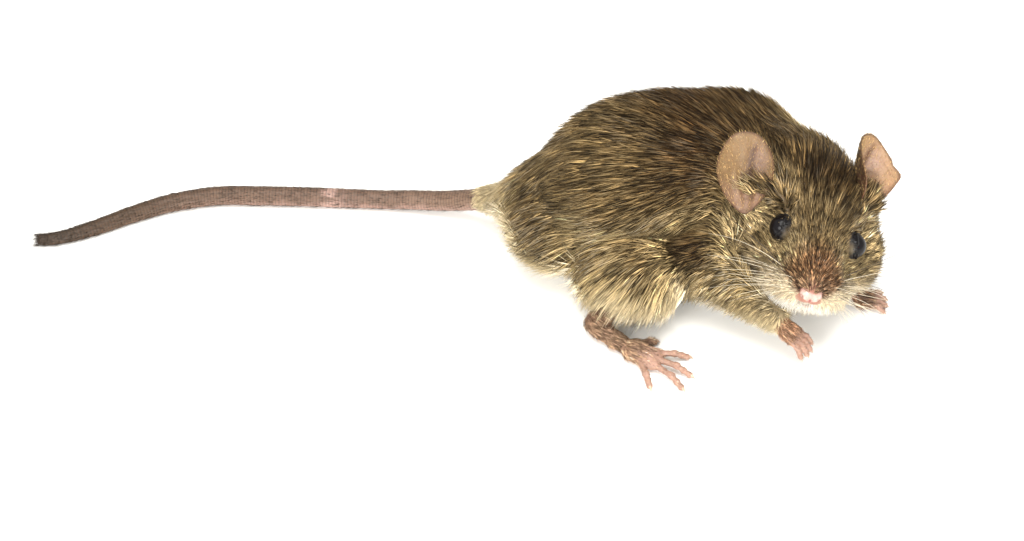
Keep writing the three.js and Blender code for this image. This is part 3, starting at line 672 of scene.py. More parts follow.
def tail_mesh():
    """The tail: a tube whose radius steps up over each ring of scales and drops in the groove after it."""
    line, radius, run = tail_path(TAIL_ROWS)
    scale = (run / TAIL_RING) % 1
    rise, fall = ramp(scale, 0.0, 0.3), ramp(scale, 0.75, 1.0)
    relief = 0.035 * rise - 0.035 * fall
    end = run[-1] - run
    rounded = np.sqrt(np.clip(1 - (1 - np.minimum(end / 0.8, 1)) ** 2, 0.02, 1))
    points, quads, fans = tube(line, (radius + relief) * rounded, TAIL_COLUMNS)
    points[:, 2] = np.maximum(points[:, 2], 0.02)
    share = np.concatenate([np.repeat(run / run[-1], TAIL_COLUMNS), [0, 1]])
    groove = np.concatenate([np.repeat(1 - rise + fall, TAIL_COLUMNS), [0, 0]])
    return (points, quads, fans), share, np.clip(groove, 0, 1)


# ---- Markings: colours as functions of place ----
BACK = paint(92, 75, 47)
SADDLE = paint(52, 36, 17)
FLANK = paint(146, 126, 88)
LOWER = paint(212, 194, 156)
BELLY = paint(244, 230, 204)
CROWN = paint(54, 39, 19)
BROW = paint(108, 89, 59)
CHEEK = paint(146, 126, 90)
CREAM = paint(226, 208, 176)
BRIDGE = paint(100, 68, 44)
LIP = paint(252, 245, 232)
MUZZLE_SKIN = paint(140, 92, 76)
NOSE_PINK = paint(176, 144, 134)
# pale skin of the nose pad, partly a painted highlight of its wet surface
NOSE_PALE_AND_GLINT = paint(208, 184, 174)
NOSE_RED = paint(150, 74, 72)
LID = paint(14, 10, 9)
FOOT_SKIN = paint(134, 104, 84)
TOE_SKIN = paint(160, 128, 112)
FOOT_HAIR = paint(146, 118, 94)
WRIST_HAIR = paint(156, 116, 88)
EAR_TAN = paint(116, 92, 62)
EAR_BOWL = paint(128, 106, 92)
EAR_PINK = paint(122, 96, 76)
EAR_SHADE = paint(74, 50, 34)
EAR_BACK = paint(64, 44, 30)
EAR_HAIR = paint(190, 156, 104)
TAIL_SHARES = (0.0, 0.08, 0.35, 0.6, 0.8, 1.0)
TAIL_TOPS = paint([(130, 108, 90), (112, 90, 74), (102, 80, 66), (92, 71, 56), (72, 53, 36), (48, 34, 20)])
TAIL_UNDERS = paint(
    [(160, 132, 116), (150, 122, 108), (146, 118, 106), (124, 98, 84), (92, 70, 52), (60, 44, 30)]
)
TAIL_PATCH = paint(166, 136, 124)
HAIR_GOLD = paint(184, 164, 124)
# grey for hair tips: partly the coat's own grey tips, partly painted sheen
GREY_TIP_AND_SHEEN = paint(176, 168, 150)
HAIR_DARK = paint(30, 20, 10)


# Painted shade in creases of the coat by the elbow and the thigh: two ends and how deep the painted shade is.
# Each end is a distance along the body and one up across its right side, as seen from above and aside.
CREASE_SHADES = (
    ((27.3, 1.9), (25.9, -1.0), 0.75),
    ((22.4, -1.2), (21.2, -2.6), 0.5),
    ((3.0, 1.6), (2.6, 0.4), 0.4),
)
SADDLE_AT = 27.5  # where the dark saddle is darkest along the body
SADDLE_REACH = (8.5, 17)  # how far it fades behind and before that
TONE_SHIFTS = (  # a place, a reach and how much darker the coat is there: thigh, shoulder, flank and rump
    ((19.0, -13.5, 6.0), 7, -0.6),
    ((28.5, -8, 12), 5.5, 0.22),
    ((22.0, -7.5, 15), 5.5, 0.35),
    ((5, -4, 7), 8, 0.65),
)
UNDER_TAIL = (1.5, 2.0, 2.5)  # pale coat under the tail's root


def coat_colour(p, n):
    """Agouti coat: dark on the back and crown, darkest over the shoulders, paler down the flanks and cream
    below; on the head a reddish bridge, pale cheeks and white lips. Each step is an S-shaped ramp of
    height, facing or distance."""
    height = 0.55 * n[:, 2] + (p[:, 2] - 9.5) / 11 + 0.2 * noise(p, 4.0, 3)
    for place, reach, darker in TONE_SHIFTS:
        height += darker * bell(distance(p, place) / reach)
    tone = mix(BELLY, LOWER, ramp(height, -0.7, -0.2))
    tone = mix(tone, FLANK, ramp(height, -0.2, 0.6))
    tone = mix(tone, BACK, ramp(height, 0.4, 1.1))
    reach = np.where(p[:, 0] < SADDLE_AT, *SADDLE_REACH)
    tone = mix(tone, SADDLE, ramp(height, 0.75, 1.3) * bell((p[:, 0] - SADDLE_AT) / reach))
    tone = mix(tone, LOWER, (1 - ramp(distance(p, UNDER_TAIL), 2, 5.5)) * 0.6)
    # painted shade along the creases of the coat, on the right side only
    across = 0.72 * p[:, 1] + 0.69 * p[:, 2]
    for a, b, dark in CREASE_SHADES:
        away = off_segment(np.column_stack([p[:, 0], across]), a, b)
        tone = tone * (1 - dark * bell(away / 0.5) * (p[:, 1] < 0))[:, None]
    q = into(HEAD, p)
    on_head = ramp(q[:, 0], -11, -7) * ramp(-head(p), -1.2, 0.0)
    x, y, z = q[:, 0], np.abs(q[:, 1]), q[:, 2]
    face = mix(CHEEK, BROW, ramp(z - 0.42 * y, -2.4, 1.2))
    crown = ramp(-x, -1.5, 3.2) * ramp(z - 0.75 * y, 0.2, 3.0) * (1 - 0.5 * ramp(-x, 5, 9))
    face = mix(face, CROWN, crown)
    face = mix(face, CREAM, ramp(-z + 0.35 * x + 0.4 * noise(p, 2.0, 15), 4.3, 7.0))
    face = mix(face, BRIDGE, ramp(x, 4.5, 8.0) * ramp(z - 0.5 * y, -5.4, -4.2) * 0.9)
    face = mix(face, LIP, ramp(-(z + 0.24 * y), 4.5, 5.4) * ramp(x, -1, 4))
    face = mix(face, BELLY, ramp(-z, 6.5, 8.5))
    return mix(tone, face, on_head)


def body_skin_colour(p, n):
    """Skin under the coat: the coat's own markings, darker; pink nose and muzzle, the nose with pale patches
    that are partly painted highlights of its wet skin and nostrils darkened as painted shade; dark lids.
    """
    tone = coat_colour(p, n) * 0.55
    q = into(HEAD, p)
    tone = mix(tone, TAIL_TOPS[0], 1 - ramp(distance(p, TAIL_OUT), 1.9, 2.9))
    tone = mix(tone, MUZZLE_SKIN, (1 - ramp(distance(q, NOSE), 1.8, 3.6)) * 0.9)
    centre = bell(q[:, 1] / 0.28) * ramp(-q[:, 2], 3.9, 4.4)
    # pale patches on the sides of the lobes: the pad's paler skin and painted highlights of its wet surface
    pale = bell((np.abs(q[:, 1]) - 0.95) / 0.4) * ramp(noise(p, 0.35, 41), -0.4, 0.4)
    pink = mix(mix(NOSE_PINK, NOSE_PALE_AND_GLINT, pale), NOSE_RED, centre * 0.85)
    tone = mix(tone, pink, 1 - ramp(nose_pad(p), 0.02, 0.3))
    # nostrils darkened: painted shade in the openings
    nostril = np.minimum(*(nostril(p) for nostril in nostrils))
    tone = mix(tone, NOSE_RED * 0.5, (1 - ramp(nostril, -0.05, 0.1)) * 0.8)
    opening, eye_near = from_eyes(p)
    return mix(tone, LID, (1 - ramp(opening, 0.22, 0.4)) * (1 - ramp(eye_near, 2.6, 3.4)))


def toe_bareness(p):
    """1 over ankles, wrists and the backs of the feet, falling to 0.15 along the toes."""
    share = np.full(len(p), 0.15)
    for name, (place, _, _) in FEET.items():
        reach = (5.0, 10.5) if "hind" in name else (-0.5, 1.6)
        q = into(place, p)
        near = np.hypot(q[:, 1], q[:, 2]) < 9
        share = np.where(near & (np.abs(q[:, 0]) < 16), 0.15 + 0.85 * (1 - ramp(q[:, 0], *reach)), share)
    return share


def foot_colour(p):
    """Feet: pinkish brown above, paler and pinker toes, warmer in patches."""
    tone = mix(FOOT_SKIN, TOE_SKIN, 1 - toe_bareness(p))
    return tone * (1 + 0.12 * noise(p, 1.1, 5) + 0.06 * noise(p, 0.4, 6))[:, None]


def ear_colour(place, p, rim, front, glow):
    """Ears: tan inside, pinkish grey in the bowl, pinker low down, shaded along a curved fold that comes down
    the middle and in creases; dark behind and along the very rim. glow brightens the inside."""
    e, h = on_leaf(place, p)
    tone = mix(EAR_TAN, EAR_PINK, 1 - ramp(h, 0.2, 0.5))
    tone = mix(tone, EAR_BOWL, np.exp(-(((e - 0.45) / 0.4) ** 2) - ((h - 0.64) / 0.22) ** 2))
    fold = bell((e - 0.12 - 1.6 * (h - 0.45) ** 2) / 0.13)
    tone = mix(tone, EAR_SHADE, fold * ramp(h, 0.1, 0.3) * (1 - ramp(h, 0.75, 0.95)) * 0.95)
    crease = np.abs(noise(np.column_stack([e * 3, h * 9, 0 * e]), 1.0, 17))
    tone = mix(tone, EAR_SHADE, (1 - ramp(crease, 0.0, 0.12)) * (1 - ramp(h, 0.5, 0.75)) * 0.55)
    tone = mix(EAR_BACK, tone * glow, front)
    tone = mix(tone, EAR_SHADE, ramp(rim, 0.93, 0.99) * 0.8)
    return tone * (1 + 0.1 * noise(p, 1.0, 7) + 0.09 * noise(p, 0.35, 8))[:, None]


def tail_colour(p, n, share, groove):
    """Tail: brown above and pinker below, darker towards its tip, with painted shade in the grooves and a
    pink patch.
    """
    along = lambda tones: np.stack([np.interp(share, TAIL_SHARES, tones[:, k]) for k in range(3)], axis=1)
    below = 1 - ramp(n[:, 2] + 0.25 * noise(p, 1.6, 12), -0.35, 0.5)
    tone = mix(along(TAIL_TOPS), along(TAIL_UNDERS), below)
    patch = bell((share - 0.385) / 0.022) * ramp(noise(p, 1.2, 9), -0.5, 0.2)
    tone = mix(tone, TAIL_PATCH, patch * 0.9)
    tone = tone * (1 + 0.14 * noise(p, 2.4, 14))[:, None]
    # painted shade in the grooves between the rings of scales
    return mix(tone, tone * 0.5, groove * 0.75)


# ---- Putting meshes into the scene ----
EYE_MARK = np.mean([np.mean(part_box(f"eye_{side}"), axis=0) for side in ("right", "left")], axis=0)
SHIFT = EYE_MARK * 1000 - out_of(HEAD, eye_middle(0))  # from the layout to the frame, mm


def to_frame(p):
    """Layout millimetres as frame metres."""
    return (p + SHIFT) / 1000


def point_normals(points, faces):
    """Unit normals at the points: the sum of the normals of the faces around each."""
    total = np.zeros_like(points)
    for group in faces:
        if not len(group):
            continue
        a, b, c = (points[group[:, k]] for k in (0, 1, 2))
        d = points[group[:, -1]]
        n = np.cross(c - a, d - b) if group.shape[1] == 4 else np.cross(b - a, c - a)
        for k in range(group.shape[1]):
            np.add.at(total, group[:, k], n)
    return unit(total)


def place_object(name, data):
    """An object of that name and data, linked to the scene."""
    made = bpy.data.objects.new(name, data)
    bpy.context.scene.collection.objects.link(made)
    return made


def add_mesh(name, points, faces, material):
    """A mesh object at the origin from points in the layout and arrays of triangles and quads."""
    mesh = bpy.data.meshes.new(name)
    faces = [group for group in faces if len(group)]
    sizes = np.concatenate([np.full(len(group), group.shape[1]) for group in faces])
    mesh.vertices.add(len(points))
    mesh.vertices.foreach_set("co", to_frame(points).astype(np.float32).ravel())
    mesh.loops.add(int(sizes.sum()))
    corners = np.concatenate([group.ravel() for group in faces])
    mesh.loops.foreach_set("vertex_index", corners.astype(np.int32))
    mesh.polygons.add(len(sizes))
    mesh.polygons.foreach_set("loop_start", (np.cumsum(sizes) - sizes).astype(np.int32))
    mesh.update(calc_edges=True)
    mesh.polygons.foreach_set("use_smooth", np.ones(len(sizes), bool))
    mesh.materials.append(material)
    piece = place_object(name, mesh)
    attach(piece, "root")
    return piece


def set_values(mesh, name, values):
    """One number or one colour for each point of the mesh, as an attribute."""
    values = np.asarray(values, np.float32)
    if values.ndim == 1:
        mesh.attributes.new(name, "FLOAT", "POINT").data.foreach_set("value", values)
    else:
        rgba = np.column_stack([np.clip(values, 0, 1), np.ones(len(values))]).astype(np.float32)
        mesh.attributes.new(name, "FLOAT_COLOR", "POINT").data.foreach_set("color", rgba.ravel())


# ---- Materials ----
def new_material(name, **inputs):
    """A node material, its tree and its shader, whose inputs are set by name with _ for each space."""
    material = bpy.data.materials.new(name)
    material.use_nodes = True
    shader = material.node_tree.nodes["Principled BSDF"]
    for key, value in inputs.items():
        shader.inputs[key.replace("_", " ")].default_value = value
    return material, material.node_tree, shader


def node_of(tree, kind, **inputs):
    """A new node with some of its inputs set by name; a plain Python name stands for the input's own."""
    node = tree.nodes.new(kind)
    for key, value in inputs.items():
        if hasattr(node, key) and key not in node.inputs:
            setattr(node, key, value)
        else:
            node.inputs[key].default_value = value
    return node


def attribute(tree, name, output="Color"):
    """An attribute's colour or number."""
    return node_of(tree, "ShaderNodeAttribute", attribute_name=name).outputs[output]


def bump(tree, shader, height, distance_m, strength):
    """Bump from a height, joined to the shader's normal."""
    node = node_of(tree, "ShaderNodeBump", Strength=strength, Distance=distance_m)
    tree.links.new(height, node.inputs["Height"])
    tree.links.new(node.outputs["Normal"], shader.inputs["Normal"])


def object_noise(tree, scale, detail=3.0):
    """Noise on the object's own coordinates, scale to the metre."""
    place = tree.nodes.new("ShaderNodeTexCoord")
    node = node_of(tree, "ShaderNodeTexNoise", Scale=scale, Detail=detail)
    tree.links.new(place.outputs["Object"], node.inputs["Vector"])
    return node.outputs["Fac"]


def ranged(tree, value, low, high, to_low, to_high):
    """A value carried from low..high to to_low..to_high."""
    node = tree.nodes.new("ShaderNodeMapRange")
    for key, number in zip(("From Min", "From Max", "To Min", "To Max"), (low, high, to_low, to_high)):
        node.inputs[key].default_value = number
    tree.links.new(value, node.inputs["Value"])
    return node.outputs["Result"]


def mixed(tree, a, b, factor, mode="MIX"):
    """Two colours mixed; each of the three is a socket or a plain value."""
    node = tree.nodes.new("ShaderNodeMix")
    node.data_type = "RGBA"
    node.blend_type = mode
    for value, socket in ((factor, node.inputs[0]), (a, node.inputs[6]), (b, node.inputs[7])):
        if isinstance(value, bpy.types.NodeSocket):
            tree.links.new(value, socket)
        else:
            socket.default_value = value
    return node.outputs[2]


def skin_material():
    """Bare and furred skin: the painted tone with fine mottling, its roughness varied by the same grain,
    grained by small bumps.
    """
    material, tree, shader = new_material(
        "bare skin",
        Subsurface_Weight=0.12,
        Subsurface_Radius=(1.0, 0.35, 0.2),
        Subsurface_Scale=0.0006,
        Specular_IOR_Level=0.3,
    )
    grain = object_noise(tree, 5200)
    tone = attribute(tree, "tone")
    dark = mixed(tree, tone, (0.84, 0.78, 0.75, 1), 1.0, "MULTIPLY")
    mottled = mixed(tree, dark, tone, ranged(tree, grain, 0.35, 0.6, 0.0, 1.0))
    tree.links.new(mottled, shader.inputs["Base Color"])
    tree.links.new(ranged(tree, grain, 0.3, 0.7, 0.62, 0.46), shader.inputs["Roughness"])
    bump(tree, shader, grain, 0.00004, 0.5)
    return material


def coat_material():
    """Hair: its root's colour, the marking's along its middle, and its own paler or darker tip."""
    material, tree, shader = new_material("agouti coat", Roughness=0.5, Specular_IOR_Level=0.14)
    along, tone = attribute(tree, "along", "Fac"), attribute(tree, "tone")
    colour = mixed(tree, attribute(tree, "root"), tone, ranged(tree, along, 0.1, 0.55, 0.0, 1.0))
    colour = mixed(tree, colour, attribute(tree, "tip"), ranged(tree, along, 0.55, 0.85, 0.0, 1.0))
    tree.links.new(colour, shader.inputs["Base Color"])
    return material


def mottled(name, one, other, scale, detail=3.0, **inputs):
    """A material of two colours mixed by noise, with its other inputs set by name."""
    material, tree, shader = new_material(name, **inputs)
    patches = mixed(tree, (*one, 1), (*other, 1), object_noise(tree, scale, detail))
    tree.links.new(patches, shader.inputs["Base Color"])
    return material


def hair(name, colour, roughness):
    """Whiskers and bristles: one colour, up to a quarter lighter in streaks."""
    return mottled(name, colour, colour * 1.25, 900, 2.0, Roughness=roughness)


SKIN = skin_material()
COAT = coat_material()
EYE = mottled(
    "black eye",
    (0.003, 0.002, 0.002),
    (0.006, 0.005, 0.006),
    700,
    2.0,
    Roughness=0.3,
    Specular_IOR_Level=0.05,
    Coat_Weight=0.25,
    Coat_Roughness=0.02,
)
CLAW = mottled("claw horn", paint(196, 170, 148), paint(150, 116, 92), 1600, Roughness=0.3)
PALE_HAIR = hair("pale whisker", paint(190, 178, 154), 0.35)
DARK_HAIR = hair("dark whisker", paint(50, 38, 26), 0.4)


# ---- The skin ----
def lid_mesh(side):
    """The dark wet rim of the lids: a thin tube round the eye, drawn out and back into a corner before and
    behind it by a narrow bell curve of the angle."""
    place = eye_frame(side)
    rows, columns = 72, 10
    a = turns(rows)
    corner = bell((np.abs(np.cos(a)) - 1) / 0.05)
    out = np.stack([np.zeros(rows), np.cos(a), np.sin(a)], 1)
    line = out * (LID_RING + 0.12 * corner)[:, None] * (1, LID_NARROW, 1)
    line[:, 0] = np.sqrt(np.maximum(LID_BALL**2 - (line**2).sum(1), 0.04)) - 0.12 * corner
    b = turns(columns)
    ring = out[:, None] * np.cos(b)[:, None] + np.array((1, 0, 0)) * np.sin(b)[:, None]
    points = (line[:, None] + ring * LID_THICKNESS).reshape(-1, 3)
    i, j = np.meshgrid(np.arange(rows), np.arange(columns), indexing="ij")
    here, following, n = i * columns, (i + 1) % rows * columns, (j + 1) % columns
    quads = np.stack([here + j, following + j, following + n, here + n], -1)
    return out_of(place, points), quads.reshape(-1, 4), NO_FANS


def joined(meshes):
    """Several meshes, each of points, quads and fans, as one."""
    points, quads, fans = zip(*meshes)
    starts = np.cumsum([0, *(len(group) for group in points)])
    shifted = lambda faces: np.vstack([group + start for group, start in zip(faces, starts)])
    return np.vstack(points), shifted(quads), shifted(fans)


NO_FANS = np.empty((0, 3), int)
BODY, FOOT, EAR, LIDS, TAIL = range(5)
meshes, tones, kinds, extras = [], [], [], []


def add_part(kind, mesh, tone, extra=0.0):
    """One more part of the skin: its kind, mesh and colours, and one more value for each point."""
    meshes.append(mesh)
    tones.append(tone)
    kinds.append(np.full(len(mesh[0]), kind))
    extras.append(np.zeros(len(mesh[0])) + extra)


points, quads = net(skin_field, [spaced(*ends) for ends in BODY_GRID])
add_part(BODY, (points, quads, NO_FANS), body_skin_colour(points, point_normals(points, [quads])))

claws = {}
for name, (place, maker, sizes) in FEET.items():
    foot, digits = maker(place, *sizes)
    points, quads = foot_mesh(foot, digits, place)
    claws[name] = (place, digits)
    add_part(FOOT, (points, quads, NO_FANS), foot_colour(points))
for place, cup, curl, folds, rim_bump, glow in EARS:
    mesh, rim, front = ear_mesh(place, cup, curl, folds, rim_bump)
    add_part(EAR, mesh, ear_colour(place, mesh[0], rim, front, glow), front)
for side in SIDES:
    mesh = lid_mesh(side)
    add_part(LIDS, mesh, np.tile(LID, (len(mesh[0]), 1)))
mesh, share, groove = tail_mesh()
add_part(TAIL, mesh, tail_colour(mesh[0], point_normals(mesh[0], mesh[1:]), share, groove), share)

skin_points, skin_quads, skin_fans = joined(meshes)
skin_normals = point_normals(skin_points, [skin_quads, skin_fans])
skin_kind = np.concatenate(kinds)
skin_extra = np.concatenate(extras)
skin = add_mesh("skin", skin_points, [skin_quads, skin_fans], SKIN)
set_values(skin.data, "tone", np.vstack(tones))
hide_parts(*[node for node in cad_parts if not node.startswith("eye_")])

bpy.context.view_layer.objects.active = skin
skin.select_set(True)
bpy.ops.object.mode_set(mode="EDIT")
bpy.ops.mesh.select_all(action="SELECT")
bpy.ops.uv.smart_project(angle_limit=1.15, island_margin=0.001)
bpy.ops.object.mode_set(mode="OBJECT")
skin.select_set(False)
skin_uv = np.empty(len(skin.data.loops) * 2, np.float32)
skin.data.uv_layers.active.data.foreach_get("uv", skin_uv)
skin_uv = skin_uv.reshape(-1, 2)


# ---- Where tufts stand ----
def tuft_density(p, n, kind, extra):
    """Tufts per square millimetre: by part, none on the nose, in the eyes or on soles and bare tail."""
    body = FACE_DENSITY + (TRUNK_DENSITY - FACE_DENSITY) * ramp(distance(into(HEAD, p), NOSE), 5, 20)
    body *= 1 - 0.45 * ramp(-n[:, 2], 0.4, 0.9)
    opening, eye_near = from_eyes(p)
    body *= np.maximum(ramp(opening, 0.14, 0.3), ramp(eye_near, 2.7, 3.1))
    body *= ramp(nose_pad(p), 0.05, 0.2) * ramp(distance(p, TAIL_OUT), 1.8, 2.6)
    sheltered = coat_surface(p)
    foot = FOOT_DENSITY * ramp(n[:, 2], -0.7, 0.1) * ramp(sheltered, -1.2, -0.4) * toe_bareness(p)
    ear = EAR_DENSITY * ramp(sheltered, -0.6, 0.0) * (0.5 + 0.5 * (extra < 0.6))
    return np.choose(kind, [body, foot, ear, 0 * body, 0 * body])


tris = np.vstack([skin_quads[:, [0, 1, 2]], skin_quads[:, [0, 2, 3]], skin_fans])
quad_loops = np.arange(len(skin_quads) * 4).reshape(-1, 4)
fan_loops = len(skin_quads) * 4 + np.arange(len(skin_fans) * 3).reshape(-1, 3)
tri_loops = np.vstack([quad_loops[:, [0, 1, 2]], quad_loops[:, [0, 2, 3]], fan_loops])
corner = skin_points[tris]
area = np.linalg.norm(np.cross(corner[:, 1] - corner[:, 0], corner[:, 2] - corner[:, 0]), axis=1) / 2
tri_kind = skin_kind[tris[:, 0]]
crowd = tuft_density(corner.mean(1), unit(skin_normals[tris].sum(1)), tri_kind, skin_extra[tris].mean(1))
order = np.lexsort((np.floor(corner[:, 0, 2]), np.floor(corner[:, 0, 1]), np.floor(corner[:, 0, 0])))
running = np.cumsum((area * crowd)[order])
tuft_count = int(min(running[-1], MOST_TUFTS))
marks = (np.arange(tuft_count) + RNG.random(tuft_count)) / tuft_count * running[-1]
chosen = order[np.minimum(np.searchsorted(running, marks), len(order) - 1)]
weights = RNG.dirichlet((1, 1, 1), tuft_count)
root = np.einsum("ij,ijk->ik", weights, corner[chosen])
root_normal = unit(np.einsum("ij,ijk->ik", weights, skin_normals[tris[chosen]]))
root_uv = np.einsum("ij,ijk->ik", weights, skin_uv[tri_loops[chosen]])
root_kind = tri_kind[chosen]
root_extra = np.einsum("ij,ij->i", weights, skin_extra[tris[chosen]])

# Which way the coat lies: a place, how many degrees below level the hair there points, seen from that
# side and from above, and the guide's reach.
GUIDES = (
    ((12, 11, 22), 5, 6), ((22, 10, 23), -5, 6), ((29, 9, 23), -20, 5), ((8, 3, 20), 18, 5),
    ((16, 1, 23), 3, 5), ((25, 1, 23), 0, 5), ((30, 2, 21), -10, 4), ((3, 3, 16), 27, 5),
    ((12, -2, 20), 8, 5), ((20, -3, 20), 10, 5), ((27, -4, 18), 10, 4), ((0, 5, 11), 30, 5),
    ((8, -4, 15), 20, 5), ((16, -6, 15), 24, 4), ((21, -6, 15), 36, 4), ((26, -7, 14), 24, 4),
    ((6, -4, 9), 27, 5), ((13, -11, 12), 28, 4), ((21, -10, 13), 48, 4), ((26, -8, 11), 34, 3),
    ((12, -14, 8), 40, 4), ((20, -14, 8), 54, 4), ((30, -7, 14), -4, 3), ((30, -10, 9), 24, 4),
    ((35, -14, 7), 32, 4), ((34, 7, 20), -48, 4), ((37, 8, 17), -55, 4), ((-3, 9, 6), 25, 4),
    ((20, 20, 16), 20, 7), ((8, 14, 12), 28, 6), ((19, 21, 8), 45, 6), ((33, 18, 14), 5, 5),
    ((25, 0, 3), 0, 9), ((46, -4, 5), 40, 4),
)
LEFT_SIDE = 12  # guides with Y above this are on the left side


def lie(p):
    """The way that the coat lies: guides weighed by exp(-(d/reach)^2), and on the head away from the nose."""
    total = np.zeros_like(p)
    for place, below, reach in GUIDES:
        a = np.radians(below)
        side = 1 if place[1] > LEFT_SIDE else -1
        way = np.array((-np.cos(a), side * 0.72 * np.sin(a), -0.69 * np.sin(a)))
        total += way * np.exp(-((distance(p, place) / reach) ** 2))[:, None]
    total += np.array((-1, 0, -0.3)) * 0.01
    q = into(HEAD, p)
    away = q - np.array((11.5, 0, -3.0))
    away[:, 2] += 0.10 * away[:, 0] * ramp(q[:, 2], -2, 3)
    away[:, 0] -= 2.0
    from_nose = unit(turned(HEAD, away))
    on_head = ramp(q[:, 0], -13, -6) * ramp(-head(p), -2.4, -0.6)
    return unit(total) * (1 - on_head)[:, None] + from_nose * on_head[:, None]


def nearest_way(options):
    """Of options, each a distance and a way for every point, the way with the least distance."""
    ways, nearest = np.zeros((len(options[0][0]), 3)), np.inf
    for d, way in options:
        ways = np.where((d < nearest)[:, None], way, ways)
        nearest = np.minimum(d, nearest)
    return ways


def foot_lie(p):
    """Hair on a foot points along it to its toes."""
    places = [place for place, _, _ in FEET.values()]
    return nearest_way([(distance(p, origin + axes[:, 0] * 5), axes[:, 0]) for axes, origin in places])


def ear_lie(p):
    """Hair on an ear points up the ear and outwards to its rim."""
    options = []
    for place in (RIGHT_EAR, LEFT_EAR):
        q = into(place, p)
        spread = np.column_stack([q[:, 0] * 0, q[:, 1] * 0.25, q[:, 2] * 0 + 1])
        options.append((np.abs(q[:, 1]) + np.abs(q[:, 2] - EAR_LENGTH / 2), turned(place, spread)))
    return nearest_way(options)


def comb(p, target):
    """Points moved along the body's slope until they lie target from the coat's surface, plus outside it."""
    for _ in range(2):
        here, way = slope(coat_surface, p, 0.05)
        p = p - unit(way) * np.clip(here - target, -0.8, 0.8)[:, None]
    return p


def drawn_noise(p, way, size, reach, seed):
    """Noise drawn out along the lie: the mean of noise at five points from -reach to reach along the way."""
    return 1.7 * np.mean([noise(p + way * (k * reach), size, seed) for k in (-1, -0.5, 0, 0.5, 1)], axis=0)


def lock_rise_and_light(smooth):
    """Where locks rise, which also paints light on the raised locks and shade on the sunken ones: drawn-out
    noise half as wide as a lock, and finer on the face.
    """
    broad = drawn_noise(root, smooth, LOCK_WIDTH * 0.52, 0.45, 31)
    fine = drawn_noise(root, smooth, LOCK_WIDTH * 0.28, 0.24, 32)
    share = ramp(coat_depth(root), 0.3, 0.9)
    return fine + (broad - fine) * share


def coat_shapes():
    """The middles and tips of all tufts, their widths, and how far each rises in its lock."""
    n, count = root_normal, len(root)
    on_body = root_kind == BODY
    bare_way = np.where((root_kind == EAR)[:, None], ear_lie(root), foot_lie(root))
    way = np.where(on_body[:, None], lie(root), bare_way)
    depth = coat_depth(root)
    share = ramp(depth, FACE_DEPTH, 0.9)
    smooth = unit(way)
    step = 0.15
    here = drawn_noise(root, smooth, LOCK_WIDTH, 1.0, 11)
    gather = [drawn_noise(root + step * e, smooth, LOCK_WIDTH, 1.0, 11) - here for e in np.eye(3)]
    lock = lock_rise_and_light(smooth)
    head_place = into(HEAD, root)
    fringe = ramp(head_place[:, 0], 1.5, 4) * ramp(-head_place[:, 2], 4.6, 5.4) * on_body
    way = smooth + LOCK_PULL * np.stack(gather, axis=1) + HAIR_SPREAD * RNG.standard_normal((count, 3))
    way += FRINGE_PULL * fringe[:, None] * turned(HEAD, (-0.2, 0.0, -1.0))
    way += 0.16 * np.stack([noise(root, 4.0, 20 + k) for k in range(3)], axis=1)
    way = unit(way - n * np.einsum("ij,ij->i", way, n)[:, None])
    length = TUFT_REACH * depth * RNG.uniform(0.75, 1.2, count) + fringe * RNG.uniform(0.1, 0.9, count)
    length *= 0.48 + 0.52 * ramp(from_eyes(root)[0], 0.2, 2.0)
    on_foot = RNG.uniform(0.4, 0.7, count) * (0.7 + toe_bareness(root))
    length = np.where(root_kind == FOOT, on_foot, length)
    length = np.where(root_kind == EAR, RNG.uniform(0.3, 0.65, count), length)
    stray, low_edge = RNG.random(count), ramp(-n[:, 2], -0.1, 0.5)
    tip_at = RNG.uniform(-0.4, 0.3, count) + np.where(stray > 1 - STRAYS, RNG.uniform(0.2, 0.95, count), 0)
    tip_at = (tip_at + LOCK_LIFT * lock + low_edge * RNG.uniform(-0.1, 0.9, count)) * depth
    tip_at += fringe * RNG.uniform(0.0, 0.8, count)
    by_ear = np.minimum(distance(root, RIGHT_EAR[1]), distance(root, LEFT_EAR[1]))
    tip_at += (1 - ramp(by_ear, 3.0, 5.6)) * RNG.uniform(0.0, 0.7, count)
    middle = root + way * (length * 0.5)[:, None]
    tip = root + way * length[:, None]
    middle[on_body] = comb(middle[on_body], -0.42 * depth[on_body])
    tip[on_body] = comb(tip[on_body], tip_at[on_body])
    strayed = on_body & (np.linalg.norm(tip - root, axis=1) > 1.3 * length + 0.5)
    middle[strayed] = (root + 0.4 * way * depth[:, None])[strayed]
    tip[strayed] = (root + 0.8 * way * depth[:, None])[strayed]
    low = ~on_body
    middle[low] += n[low] * (0.1 * length[low])[:, None]
    tip[low] += n[low] * (RNG.uniform(0.12, 0.3, count)[low] * length[low])[:, None]
    tip[:, 2] = np.maximum(tip[:, 2], FLOOR_GAP)
    middle[:, 2] = np.maximum(middle[:, 2], 0.12)
    width = (FACE_TUFT_WIDTH + (TUFT_WIDTH - FACE_TUFT_WIDTH) * share) * RNG.uniform(0.55, 1.35, count)
    return middle, tip, np.where(on_body, width, FOOT_TUFT_WIDTH), lock


